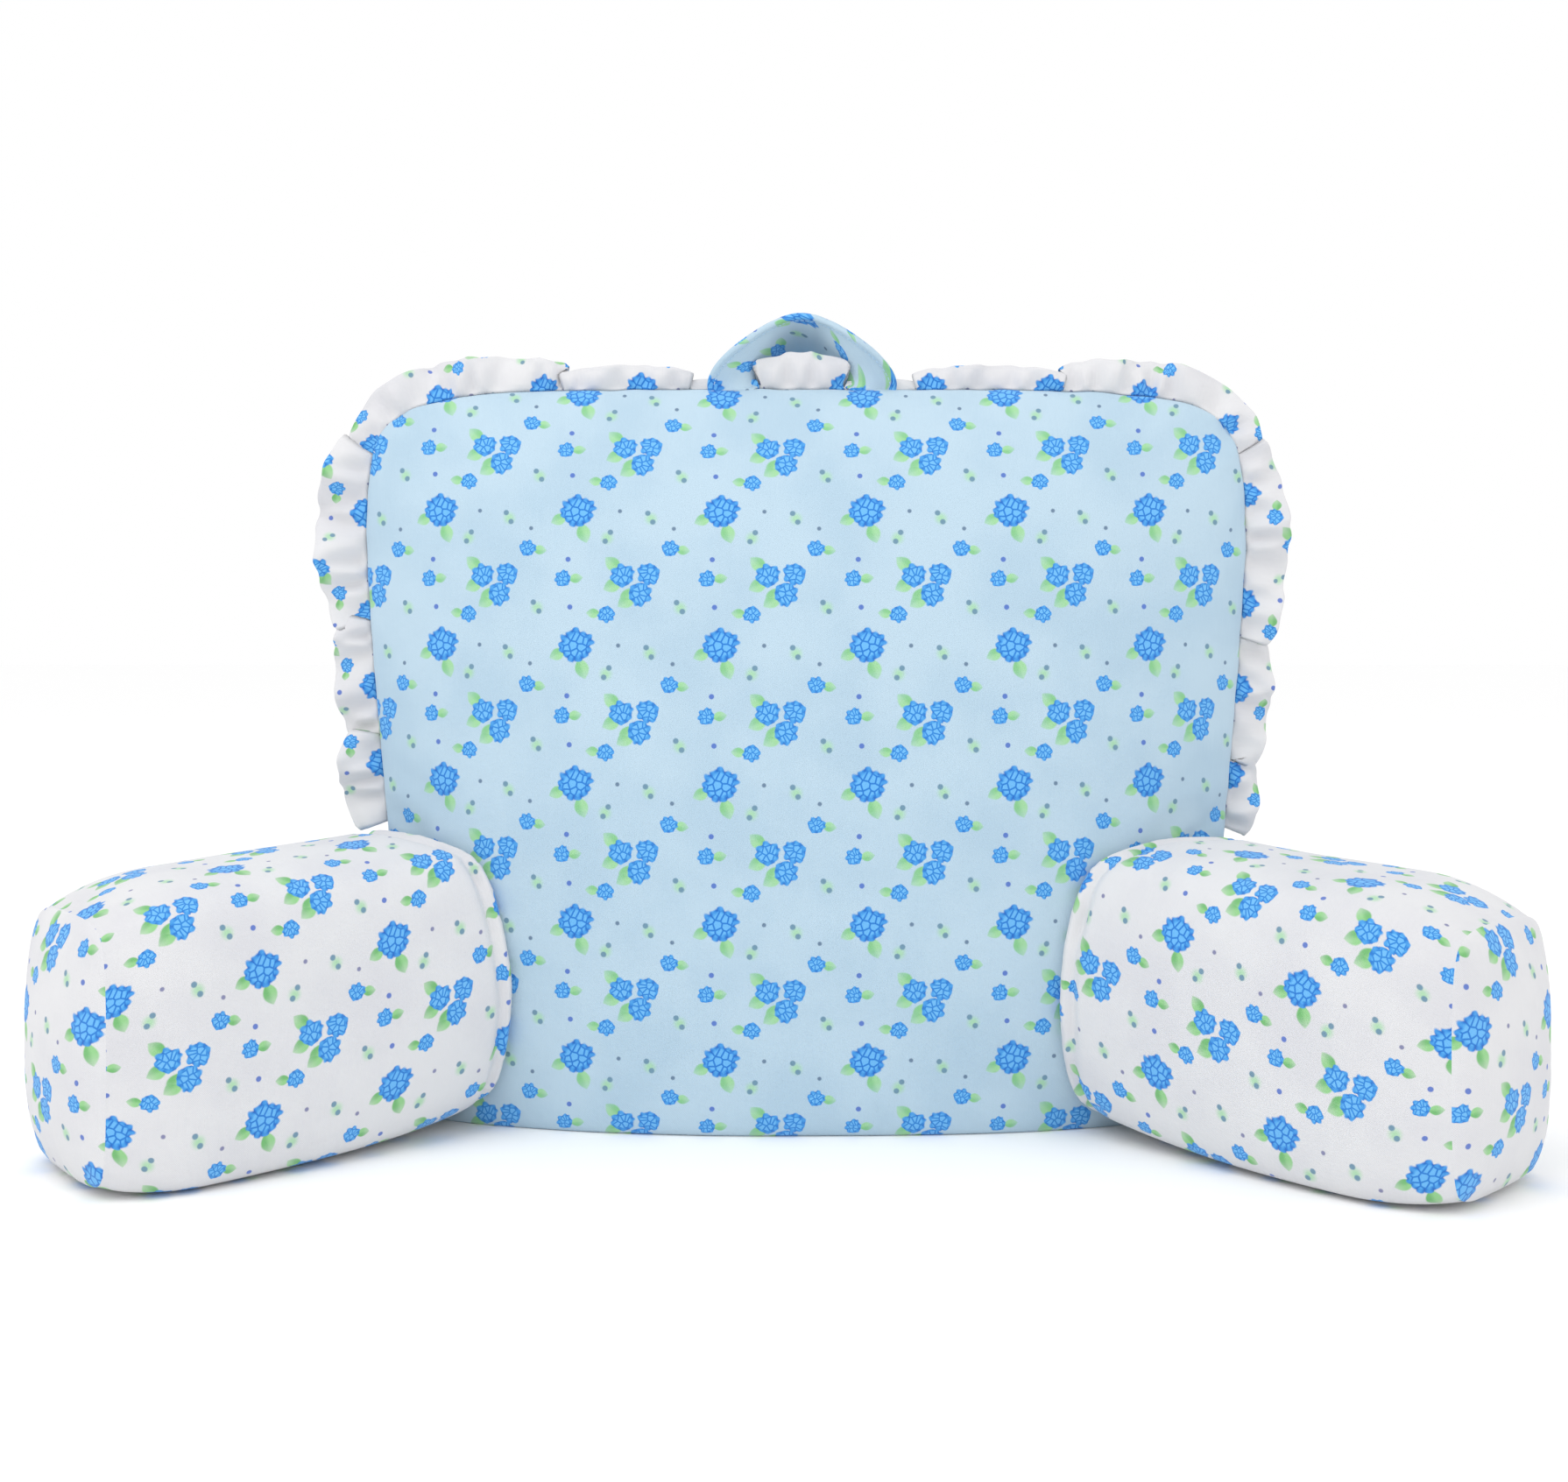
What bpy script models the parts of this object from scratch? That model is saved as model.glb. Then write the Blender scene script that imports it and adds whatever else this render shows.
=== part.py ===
"""Lounge pillow for sitting up in bed: a filled back, two bolster arms, a ruffle and a loop handle.

Metres, +Z up. The front panel faces -Y and the left arm is at -X. The body is
modelled about the middle of the back's front edge, then moved so that the
origin is under the middle of the whole pillow, on the floor.
"""

import math

import bmesh
import bpy
from mathutils import Vector

# Back cushion
SEAM_TOP = 0.436
SEAM_CLOSES_BELOW = 0.100
HALF_WIDTH_AT_FLOOR = 0.236
HALF_WIDTH_AT_SHOULDER = 0.268
SHOULDER_HEIGHT = 0.370
BACK_CORNER_POWER = 6
SEAM_PLANE = 0.070
FRONT_CROWN = 0.074
FRONT_CROWN_SPREAD = 2.6
CROWN_FULLNESS = 0.62
BAND_WIDTH = 0.085
BAND_BULGE = 0.006
REAR_CROWN = 0.020
FLOOR_ROUNDING = 0.018
BACK_STEPS_ACROSS = 18
BACK_STEPS_UP = 16
BAND_STEPS = 4

# Bolster arms. reach and forward are the middle of the end cap, heading is the
# way the cap faces, in degrees from sideways towards the front. root_reach is
# how far out from the middle the arm starts, inside the back, which cuts it off.
ARM_COLUMNS = ("name", "side", "reach", "forward", "heading", "end_width", "root_width", "root_reach")
ARM_ROWS = (
    ("arm_left", -1, 0.396, 0.075, 37.0, 0.144, 0.136, 0.184),
    ("arm_right", 1, 0.360, 0.103, 42.0, 0.144, 0.148, 0.172),
)
ARM_ROOT_SETBACK = 0.096
ARM_BEND_SETBACK = 0.055
ARM_ROOT_HEIGHT = 0.187
ARM_END_HEIGHT = 0.158
ARM_SINK = 0.012
ARM_FLARE_POWER = 1.6
CAP_CROWN = 0.016
CAP_FULLNESS = 0.8
CAP_CORNER_POWER = 3.4
ROOT_CORNER_POWER = 1.7
CAP_EDGE_ROUNDING = 0.036
CAP_EDGE_POWER = 2.2
CAP_EDGE_STEPS = (0.2, 0.5)
CAP_DRAW_IN = 0.014
ARM_STEPS_ACROSS = 8
ARM_STEPS_UP = 8
ARM_STEPS_ALONG = 14

# Ruffle, sewn in the front seam from arm to arm. starts and ends are lengths
# along the seam from the top centre, lean is how far the edge tips to the rear.
LOBE_COLUMNS = ("starts", "ends", "reach", "lean", "folds")
LOBE_ROWS = (
    (-0.497, -0.444, 0.026, -0.002, 1),
    (-0.444, -0.375, 0.025, 0.003, 2),
    (-0.375, -0.275, 0.030, -0.003, 2),
    (-0.275, -0.147, 0.022, 0.004, 3),
    (-0.147, -0.070, 0.014, -0.001, 2),
    (-0.070, -0.028, 0.006, 0.003, 0),
    (-0.028, 0.023, 0.022, 0.000, 0),
    (0.023, 0.066, 0.006, 0.003, 0),
    (0.066, 0.155, 0.014, 0.001, 2),
    (0.155, 0.275, 0.021, 0.004, 3),
    (0.275, 0.386, 0.025, -0.003, 2),
    (0.386, 0.460, 0.022, 0.003, 2),
    (0.460, 0.501, 0.019, 0.000, 1),
)
RUFFLE_THICKNESS = 0.003
RUFFLE_STANDOFF = 0.0010
RUFFLE_WAVE = 0.0065
RUFFLE_WAVE_REACH = 0.025
RUFFLE_WAVE_SWELL_POWER = 0.3
RUFFLE_NOTCH = 0.62
RUFFLE_SWELL_POWER = 0.5
RUFFLE_TIP_POWER = 1.3
RUFFLE_STEP = 0.0045
RUFFLE_LEVELS = (0.0, 0.45, 1.0)

# Loop handle: one strap, its ends sewn flat in the top seam, turned a quarter
# on the way up so that its width runs front to back at the top.
STRAP_WIDTH = 0.044
STRAP_ROOT_WIDTH = 0.034
STRAP_THICKNESS = 0.0030
LOOP_LEFT = -0.051
LOOP_RIGHT = 0.046
LOOP_RISE = 0.041
LOOP_RISE_POWER = 0.85
LOOP_LEAN = 32.0
LOOP_SPREAD_POWER = 1.1
LOOP_TWIST_POWER = 0.75
LOOP_FLAT_RISE = 0.009
LOOP_BEND_POWER = 3
LOOP_SETBACK = 0.0062
LOOP_DROP = 0.0018
LOOP_STEPS = 44

# Clearance that a seam leaves between the back and the arms sewn to it.
SEWN_GAP = 0.0006
SEAM_SAMPLES = 600

# Cloth
BACK_BLUE = "#CBE1F1"
HANDLE_BLUE = "#C6DDF0"
WHITE = "#F1F1F2"
CLOTH_ROUGHNESS = 0.85


def rows_as_dicts(columns, rows):
    """Turn a short table into one dictionary for each row."""
    return [dict(zip(columns, row)) for row in rows]


def linear_colour(hex_colour):
    """Linear RGBA of an sRGB hex colour."""
    channels = [int(hex_colour[i:i + 2], 16) / 255 for i in (1, 3, 5)]
    return [c / 12.92 if c <= 0.04045 else ((c + 0.055) / 1.055) ** 2.4 for c in channels] + [1.0]


def cloth_material(name, hex_colour):
    """Plain Principled cloth."""
    material = bpy.data.materials.new(name)
    material.use_nodes = True
    shader = material.node_tree.nodes["Principled BSDF"]
    shader.inputs["Base Color"].default_value = linear_colour(hex_colour)
    shader.inputs["Roughness"].default_value = CLOTH_ROUGHNESS
    shader.inputs["Metallic"].default_value = 0.0
    return material


def rest_on_floor(height, rounding):
    """Flatten what would lie below the floor, with a soft turn where it meets it."""
    if height <= -rounding:
        return 0.0
    if height >= rounding:
        return height
    return (height + rounding) ** 2 / (4 * rounding)


def round_corners(across, up, power):
    """Draw the corners of the square -1..1 in, so that its rim turns them in one smooth curve."""
    pull = abs(across * up) ** power / (2 * power + 1)
    return across * (1 - pull), up * (1 - pull)


def eased_steps(count):
    """Numbers from -1 to 1 that lie closer together near both ends."""
    even = [2 * i / count - 1 for i in range(count + 1)]
    return [u * (3 - u * u) / 2 for u in even]


def rim_of(across, up):
    """Grid coordinates round the rim of a square patch, once round."""
    bottom = [(s, up[0]) for s in across]
    right = [(across[-1], t) for t in up[1:]]
    top = [(s, up[-1]) for s in reversed(across[:-1])]
    left = [(across[0], t) for t in reversed(up[1:-1])]
    return bottom + right + top + left


def filled_shell(name, across, up, front, band, rear, depths):
    """One closed body: a front patch, a band round its rim and a rear patch."""
    body = bmesh.new()
    patches = []
    for surface in (front, rear):
        patches.append({(s, t): body.verts.new(surface(s, t)) for t in up for s in across})
    for patch in patches:
        for low, high in zip(up, up[1:]):
            for left, right in zip(across, across[1:]):
                body.faces.new([patch[corner] for corner in
                                ((left, low), (right, low), (right, high), (left, high))])
    rim = rim_of(across, up)
    rings = [[patches[0][place] for place in rim]]
    rings += [[body.verts.new(band(s, t, depth)) for s, t in rim] for depth in depths]
    rings.append([patches[1][place] for place in rim])
    for near, far in zip(rings, rings[1:]):
        for i in range(len(rim)):
            j = (i + 1) % len(rim)
            body.faces.new((near[i], near[j], far[j], far[i]))
    return finish_object(name, body)


def finish_object(name, body):
    """Make an object of a bmesh, with its faces pointing out and shaded smooth."""
    bmesh.ops.recalc_face_normals(body, faces=body.faces)
    mesh = bpy.data.meshes.new(name)
    body.to_mesh(mesh)
    body.free()
    mesh.shade_smooth()
    piece = bpy.data.objects.new(name, mesh)
    bpy.context.scene.collection.objects.link(piece)
    return piece


def half_width(height):
    """Half the back's width along its seam, which narrows towards the floor."""
    slope = (HALF_WIDTH_AT_SHOULDER - HALF_WIDTH_AT_FLOOR) / SHOULDER_HEIGHT
    return HALF_WIDTH_AT_FLOOR + slope * max(height, 0.0)


def seam_point(across, up):
    """Place of a front panel coordinate in the plane of the seam, before the floor flattens it."""
    s, t = round_corners(across, up, BACK_CORNER_POWER)
    middle = (SEAM_TOP - SEAM_CLOSES_BELOW) / 2
    height = middle + t * (SEAM_TOP - middle)
    return s * half_width(height), height


def crown(across, up, fullness=CROWN_FULLNESS):
    """How far a panel stands out of its seam's plane, from 0 at the seam to 1 in the middle."""
    inside = (1 - abs(across) ** FRONT_CROWN_SPREAD) * (1 - abs(up) ** FRONT_CROWN_SPREAD)
    return max(inside, 0.0) ** fullness


class Back:
    """The back cushion: front panel, band and rear panel of one filled body."""

    def __init__(self, stands_on_floor=True):
        self.stands_on_floor = stands_on_floor

    def point(self, x, y, z):
        """A point of the back, with its underside flattened where it stands on the floor."""
        return Vector((x, y, rest_on_floor(z, FLOOR_ROUNDING) if self.stands_on_floor else z))

    def front(self, across, up):
        """Point of the front panel."""
        x, z = seam_point(across, up)
        return self.point(x, SEAM_PLANE - FRONT_CROWN * crown(across, up), z)

    def band(self, across, up, depth):
        """Point of the band that joins the two panels."""
        x, z = seam_point(across, up)
        swell = BAND_BULGE * math.sin(math.pi * depth)
        outward = Vector((x, z - SEAM_TOP / 2)).normalized() * swell
        return self.point(x + outward.x, SEAM_PLANE + BAND_WIDTH * depth, z + outward.y)

    def rear(self, across, up):
        """Point of the rear panel, which is flatter than the front."""
        x, z = seam_point(across, up)
        return self.point(x, SEAM_PLANE + BAND_WIDTH + REAR_CROWN * crown(across, up), z)

    def make(self, name):
        """The whole body."""
        depths = [i / BAND_STEPS for i in range(1, BAND_STEPS)]
        return filled_shell(name, eased_steps(BACK_STEPS_ACROSS), eased_steps(BACK_STEPS_UP),
                            self.front, self.band, self.rear, depths)


class Arm:
    """One bolster arm, swept from inside the back along a bent axis to its end cap."""

    def __init__(self, row):
        self.row = row
        side = row["side"]
        heading = math.radians(row["heading"])
        self.outward = Vector((side * math.cos(heading), -math.sin(heading), 0))
        self.root = Vector((side * row["root_reach"], ARM_ROOT_SETBACK, 0))
        self.cap = Vector((side * row["reach"], -row["forward"], 0))
        back_along = (ARM_BEND_SETBACK - self.cap.y) / -self.outward.y
        self.bend = self.cap - self.outward * back_along

    def frame(self, along):
        """Middle of the arm and its rearward direction at a share of its length."""
        rest = 1 - along
        middle = self.root * rest ** 2 + self.bend * 2 * rest * along + self.cap * along ** 2
        run = (self.bend - self.root) * rest + (self.cap - self.bend) * along
        run.normalize()
        return middle, run, Vector((-run.y, run.x, 0)) * self.row["side"]

    def section(self, across, up, along, shrink=0.0, forward=0.0):
        """Point of the rounded section at a share of the length, drawn in by shrink."""
        flare = (1 - along) ** ARM_FLARE_POWER
        width = self.row["end_width"] + (self.row["root_width"] - self.row["end_width"]) * flare
        top = ARM_END_HEIGHT + (ARM_ROOT_HEIGHT - ARM_END_HEIGHT) * (1 - along)
        power = CAP_CORNER_POWER + (ROOT_CORNER_POWER - CAP_CORNER_POWER) * (1 - along)
        s, t = round_corners(across, up, power)
        middle, run, rearward = self.frame(along)
        half_height = (top + ARM_SINK) / 2
        place = middle + rearward * s * (width / 2 - shrink) + run * forward
        height = top - half_height + t * (half_height - shrink)
        return Vector((place.x, place.y, rest_on_floor(height, ARM_SINK)))

    def cap_point(self, across, up):
        """Point of the crowned end cap."""
        swell = CAP_CROWN * crown(across, up, CAP_FULLNESS)
        return self.section(across, up, 1.0, CAP_DRAW_IN, swell)

    def side_point(self, across, up, depth):
        """Point of the arm's side; depth runs from the cap to the root."""
        along = 1 - depth
        length = (self.cap - self.root).length
        from_cap = depth * length
        if from_cap >= CAP_EDGE_ROUNDING:
            return self.section(across, up, along)
        turn = 1 - from_cap / CAP_EDGE_ROUNDING
        shrink = CAP_DRAW_IN * turn ** CAP_EDGE_POWER
        return self.section(across, up, along, shrink)

    def root_point(self, across, up):
        """Point of the hidden inner end."""
        return self.section(across, up, 0.0)

    def make(self):
        """The whole arm before the back cuts its inner end."""
        length = (self.cap - self.root).length
        cap_steps = [CAP_EDGE_ROUNDING * share / length for share in CAP_EDGE_STEPS]
        even = [(i + 0.5) / ARM_STEPS_ALONG for i in range(1, ARM_STEPS_ALONG)]
        return filled_shell(self.row["name"], eased_steps(ARM_STEPS_ACROSS),
                            eased_steps(ARM_STEPS_UP), self.cap_point, self.side_point,
                            self.root_point, cap_steps + even)


def make_guide(distance):
    """The back a little larger and with its underside left round, as the shape that cuts the arms."""
    guide = Back(stands_on_floor=False).make("back_guide")
    normals = [vertex.normal.copy() for vertex in guide.data.vertices]
    for vertex, normal in zip(guide.data.vertices, normals):
        vertex.co += normal * distance
    guide.hide_render = True
    guide.display_type = "WIRE"
    return guide


def cut_by(piece, guide):
    """Cut a piece where its neighbour is."""
    cut = piece.modifiers.new("cut", "BOOLEAN")
    cut.operation = "DIFFERENCE"
    cut.object = guide


def seam_line():
    """The front seam from the left floor over the top to the right floor, with its lengths."""
    half = SEAM_SAMPLES // 4
    left = [(-1.0, -1 + 2 * i / half) for i in range(half)]
    top = [(-1 + 2 * i / (2 * half), 1.0) for i in range(2 * half)]
    right = [(1.0, 1 - 2 * i / half) for i in range(half + 1)]
    points = [Vector(seam_point(s, t)) for s, t in left + top + right]
    lengths = [0.0]
    for before, after in zip(points, points[1:]):
        lengths.append(lengths[-1] + (after - before).length)
    middle = lengths[half + half]
    return points, [length - middle for length in lengths]


def seam_at(line, length):
    """Place on the seam and its outward direction, at a length from the top centre."""
    points, lengths = line
    for i in range(len(points) - 1):
        if lengths[i + 1] >= length:
            break
    share = (length - lengths[i]) / (lengths[i + 1] - lengths[i])
    along = (points[i + 1] - points[i]).normalized()
    return points[i].lerp(points[i + 1], share), Vector((-along.y, along.x))


def ruffle_shape(lobes, length):
    """Reach of the ruffle's edge and its tip to the rear, at a length along the seam."""
    lobe = next((row for row in lobes if length <= row["ends"]), lobes[-1])
    share = (length - lobe["starts"]) / (lobe["ends"] - lobe["starts"])
    share = min(max(share, 0.0), 1.0)
    swell = math.sin(math.pi * share)
    reach = lobe["reach"] * (RUFFLE_NOTCH + (1 - RUFFLE_NOTCH) * swell ** RUFFLE_SWELL_POWER)
    wave = math.sin(2 * math.pi * lobe["folds"] * share) * swell ** RUFFLE_WAVE_SWELL_POWER
    return reach, lobe["lean"] * swell + RUFFLE_WAVE * wave * lobe["reach"] / RUFFLE_WAVE_REACH


def make_ruffle():
    """The gathered ruffle, one thin body along the seam."""
    lobes = rows_as_dicts(LOBE_COLUMNS, LOBE_ROWS)
    line = seam_line()
    first = lobes[0]["starts"]
    last = lobes[-1]["ends"]
    count = round((last - first) / RUFFLE_STEP)
    body = bmesh.new()
    rings = []
    for i in range(count + 1):
        length = first + (last - first) * i / count
        foot, outward = seam_at(line, length)
        reach, tip = ruffle_shape(lobes, length)
        ring = []
        for side, levels in ((-0.5, RUFFLE_LEVELS), (0.5, RUFFLE_LEVELS[::-1])):
            for level in levels:
                flat = foot + outward * (RUFFLE_STANDOFF + reach * level)
                y = SEAM_PLANE + tip * level ** RUFFLE_TIP_POWER + side * RUFFLE_THICKNESS
                ring.append(body.verts.new((flat.x, y, flat.y)))
        rings.append(ring)
    for near, far in zip(rings, rings[1:]):
        for i in range(len(near)):
            j = (i + 1) % len(near)
            body.faces.new((near[i], near[j], far[j], far[i]))
    body.faces.new(rings[0])
    body.faces.new(rings[-1])
    return finish_object("ruffle", body)


def strap_frame(share):
    """Middle of the strap, its width direction and its width, at a share of its length."""
    turn = math.pi * share
    lean = math.radians(LOOP_LEAN)
    middle_x = (LOOP_LEFT + LOOP_RIGHT) / 2
    half_span = (LOOP_RIGHT - LOOP_LEFT) / 2
    rise = LOOP_RISE * math.sin(turn) ** LOOP_RISE_POWER
    spread = math.cos(turn)
    x = middle_x - half_span * math.copysign(abs(spread) ** LOOP_SPREAD_POWER, spread)
    backward = math.sin(lean) * LOOP_RISE * (rise / LOOP_RISE) ** LOOP_BEND_POWER
    height = SEAM_TOP - LOOP_DROP + rise * math.cos(lean)
    place = Vector((x, SEAM_PLANE - LOOP_SETBACK + backward, height))
    turned = max(rise - LOOP_FLAT_RISE, 0.0) / (LOOP_RISE - LOOP_FLAT_RISE)
    twist = turned ** LOOP_TWIST_POWER
    sideways = Vector((1, 0, 0)) * (1 if share < 0.5 else -1)
    over = Vector((0, math.cos(lean), -math.sin(lean)))
    width_way = (sideways * (1 - twist) + over * twist).normalized()
    return place, width_way, STRAP_ROOT_WIDTH + (STRAP_WIDTH - STRAP_ROOT_WIDTH) * twist


def make_handle():
    """The loop handle, one strap."""
    places = [strap_frame(i / LOOP_STEPS) for i in range(LOOP_STEPS + 1)]
    body = bmesh.new()
    rings = []
    for i, (place, width_way, width) in enumerate(places):
        before = places[max(i - 1, 0)][0]
        after = places[min(i + 1, LOOP_STEPS)][0]
        thin_way = (after - before).cross(width_way).normalized()
        ring = []
        for wide, thin in ((-0.5, -0.5), (0.5, -0.5), (0.5, 0.5), (-0.5, 0.5)):
            ring.append(body.verts.new(place + width_way * wide * width
                                       + thin_way * thin * STRAP_THICKNESS))
        rings.append(ring)
    for near, far in zip(rings, rings[1:]):
        for i in range(4):
            j = (i + 1) % 4
            body.faces.new((near[i], near[j], far[j], far[i]))
    body.faces.new(rings[0])
    body.faces.new(rings[-1])
    return finish_object("handle", body)


def stand_on_origin(pieces, guides):
    """Move every mesh so that the origin is under the middle of the pillow."""
    corners = [vertex.co for piece in pieces for vertex in piece.data.vertices]
    low = Vector([min(corner[axis] for corner in corners) for axis in range(3)])
    high = Vector([max(corner[axis] for corner in corners) for axis in range(3)])
    shift = Vector((-(low.x + high.x) / 2, -(low.y + high.y) / 2, -low.z))
    for piece in pieces + guides:
        for vertex in piece.data.vertices:
            vertex.co += shift


def main():
    """Build the pillow."""
    for leftover in list(bpy.data.objects):
        bpy.data.objects.remove(leftover, do_unlink=True)
    back = Back().make("back_cushion")
    back_guide = make_guide(SEWN_GAP)
    arms = [Arm(row).make() for row in rows_as_dicts(ARM_COLUMNS, ARM_ROWS)]
    for arm in arms:
        cut_by(arm, back_guide)
    ruffle = make_ruffle()
    handle = make_handle()
    stand_on_origin([back, *arms, ruffle, handle], [back_guide])
    back.data.materials.append(cloth_material("back_cloth", BACK_BLUE))
    for arm in arms:
        arm.data.materials.append(cloth_material(arm.name + "_cloth", WHITE))
    ruffle.data.materials.append(cloth_material("ruffle_cloth", WHITE))
    handle.data.materials.append(cloth_material("handle_cloth", HANDLE_BLUE))


main()
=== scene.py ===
"""Lounge pillow: a filled back with a gathered ruffle, two bolster arms and a carrying loop.

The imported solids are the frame. Each soft solid is replaced by cloth panels
with seams, a crown and small puckers, and each panel carries a map of the
flat cloth in metres, which the printed flowers and the weave follow.
"""

import logging
import math
from dataclasses import dataclass
from enum import Enum

import bmesh
import bpy
import numpy as np
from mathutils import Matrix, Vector, noise
from mathutils.bvhtree import BVHTree

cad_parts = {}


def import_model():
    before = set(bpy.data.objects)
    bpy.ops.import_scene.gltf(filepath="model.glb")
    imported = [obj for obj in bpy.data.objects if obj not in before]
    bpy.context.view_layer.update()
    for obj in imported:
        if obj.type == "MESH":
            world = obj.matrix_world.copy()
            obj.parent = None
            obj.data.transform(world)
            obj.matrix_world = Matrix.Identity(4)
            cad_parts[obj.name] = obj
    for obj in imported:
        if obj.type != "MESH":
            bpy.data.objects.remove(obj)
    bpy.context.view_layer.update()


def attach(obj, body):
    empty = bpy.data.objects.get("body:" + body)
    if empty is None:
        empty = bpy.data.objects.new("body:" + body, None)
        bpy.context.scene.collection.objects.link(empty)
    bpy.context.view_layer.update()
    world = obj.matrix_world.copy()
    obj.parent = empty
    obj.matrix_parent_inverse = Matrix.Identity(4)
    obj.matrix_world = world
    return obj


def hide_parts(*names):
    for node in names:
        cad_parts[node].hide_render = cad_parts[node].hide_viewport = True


LOG = logging.getLogger("lounge pillow")

CLOTH_MAP = "cloth"
ROOT = "root"
WELD = 1e-6
MM = 0.001

# From the middle of the back's front edge to the middle under the whole pillow.
PLACE = Vector((0.016342, -0.014449, 0.0))

MATH = "ShaderNodeMath"
VECTOR = "ShaderNodeVectorMath"
MIX = "ShaderNodeMix"
RANGE = "ShaderNodeMapRange"
SEPARATE = "ShaderNodeSeparateXYZ"
NOISE = "ShaderNodeTexNoise"
RAMP = "ShaderNodeValToRGB"
MAPPING = "ShaderNodeMapping"
BLEND_NUMBER = {"data_type": "FLOAT"}
BLEND_VECTOR = {"data_type": "VECTOR"}
BLEND_COLOUR = {"data_type": "RGBA"}
SOFT_STEP = {"interpolation_type": "SMOOTHSTEP"}
FLAT_NOISE = {"noise_dimensions": "2D"}

Steps = tuple
Grid = np.ndarray


class Slot(Enum):
    """Material slots of the record."""

    BLUE = "blue_print"
    WHITE = "white_print"


class Facing(Enum):
    """Side from which a panel's print reads the right way round."""

    FRONT = 1.0
    REAR = -1.0


def linear(hex_colour: str) -> tuple[float, float, float, float]:
    """Turn an sRGB hex colour to linear.

    Args:
        hex_colour: the colour as #RRGGBB.

    Returns:
        Linear red, green, blue and full alpha.
    """
    shares = [int(hex_colour[i:i + 2], 16) / 255 for i in (1, 3, 5)]
    red, green, blue = [c / 12.92 if c <= 0.04045 else ((c + 0.055) / 1.055) ** 2.4 for c in shares]
    return red, green, blue, 1.0


def add_node(tree: bpy.types.NodeTree, kind: str, settings: dict, links: dict) -> bpy.types.Node:
    """Add one node with its settings, values and links.

    Args:
        tree: the tree that gets the node.
        kind: the node's type.
        settings: its properties by name; stops are the positions and hex colours of a ramp.
        links: for each input, by name or number, a value, or a socket or node to link from.

    Returns:
        The new node.
    """
    node = tree.nodes.new(kind)
    for name, value in settings.items():
        if name == "stops":
            ramp = node.color_ramp.elements
            while len(ramp) < len(value):
                ramp.new(0.5)
            for element, (position, colour) in zip(ramp, value):
                element.position = position
                element.color = linear(colour)
        else:
            setattr(node, name, value)
    for key, value in links.items():
        source = value
        if isinstance(value, bpy.types.Node):
            source = next(socket for socket in value.outputs if socket.enabled)
        if isinstance(source, bpy.types.NodeSocket):
            tree.links.new(source, node.inputs[key])
        else:
            node.inputs[key].default_value = source
    return node


def lay_steps(tree: bpy.types.NodeTree, steps: Steps, known: dict) -> dict:
    """Add a list of nodes that use each other's results by name.

    Args:
        tree: the tree that gets the nodes.
        steps: rows of name, kind, operation or settings, and inputs. An input that is
            a string names an earlier result, or one of its outputs after a point.
        known: the results that the rows may name; the new nodes are added to it.

    Returns:
        The same dictionary.
    """
    for name, kind, settings, inputs in steps:
        chosen = {"operation": settings} if isinstance(settings, str) else settings
        links = {}
        for key, value in inputs.items() if isinstance(inputs, dict) else enumerate(inputs):
            if isinstance(value, str):
                source, _, output = value.partition(".")
                value = known[source].outputs[output] if output else known[source]
            links[key] = value
        known[name] = add_node(tree, kind, chosen, links)
    return known


def make_group(name: str, outputs: dict, steps: Steps) -> bpy.types.NodeTree:
    """Make a group of shader nodes that works on a place within a motif.

    Args:
        name: the group's name.
        outputs: for each output of the group, its socket type; the step of that name feeds it.
        steps: the nodes, as lay_steps takes them, which may name Place.

    Returns:
        The group's tree.
    """
    group = bpy.data.node_groups.new(name, "ShaderNodeTree")
    group.interface.new_socket(name="Place", in_out="INPUT", socket_type="NodeSocketVector")
    for label, kind in outputs.items():
        group.interface.new_socket(name=label, in_out="OUTPUT", socket_type=kind)
    entry = add_node(group, "NodeGroupInput", {}, {})
    known = lay_steps(group, steps, {"Place": entry.outputs["Place"]})
    add_node(group, "NodeGroupOutput", {}, {label: known[label] for label in outputs})
    return group


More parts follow.
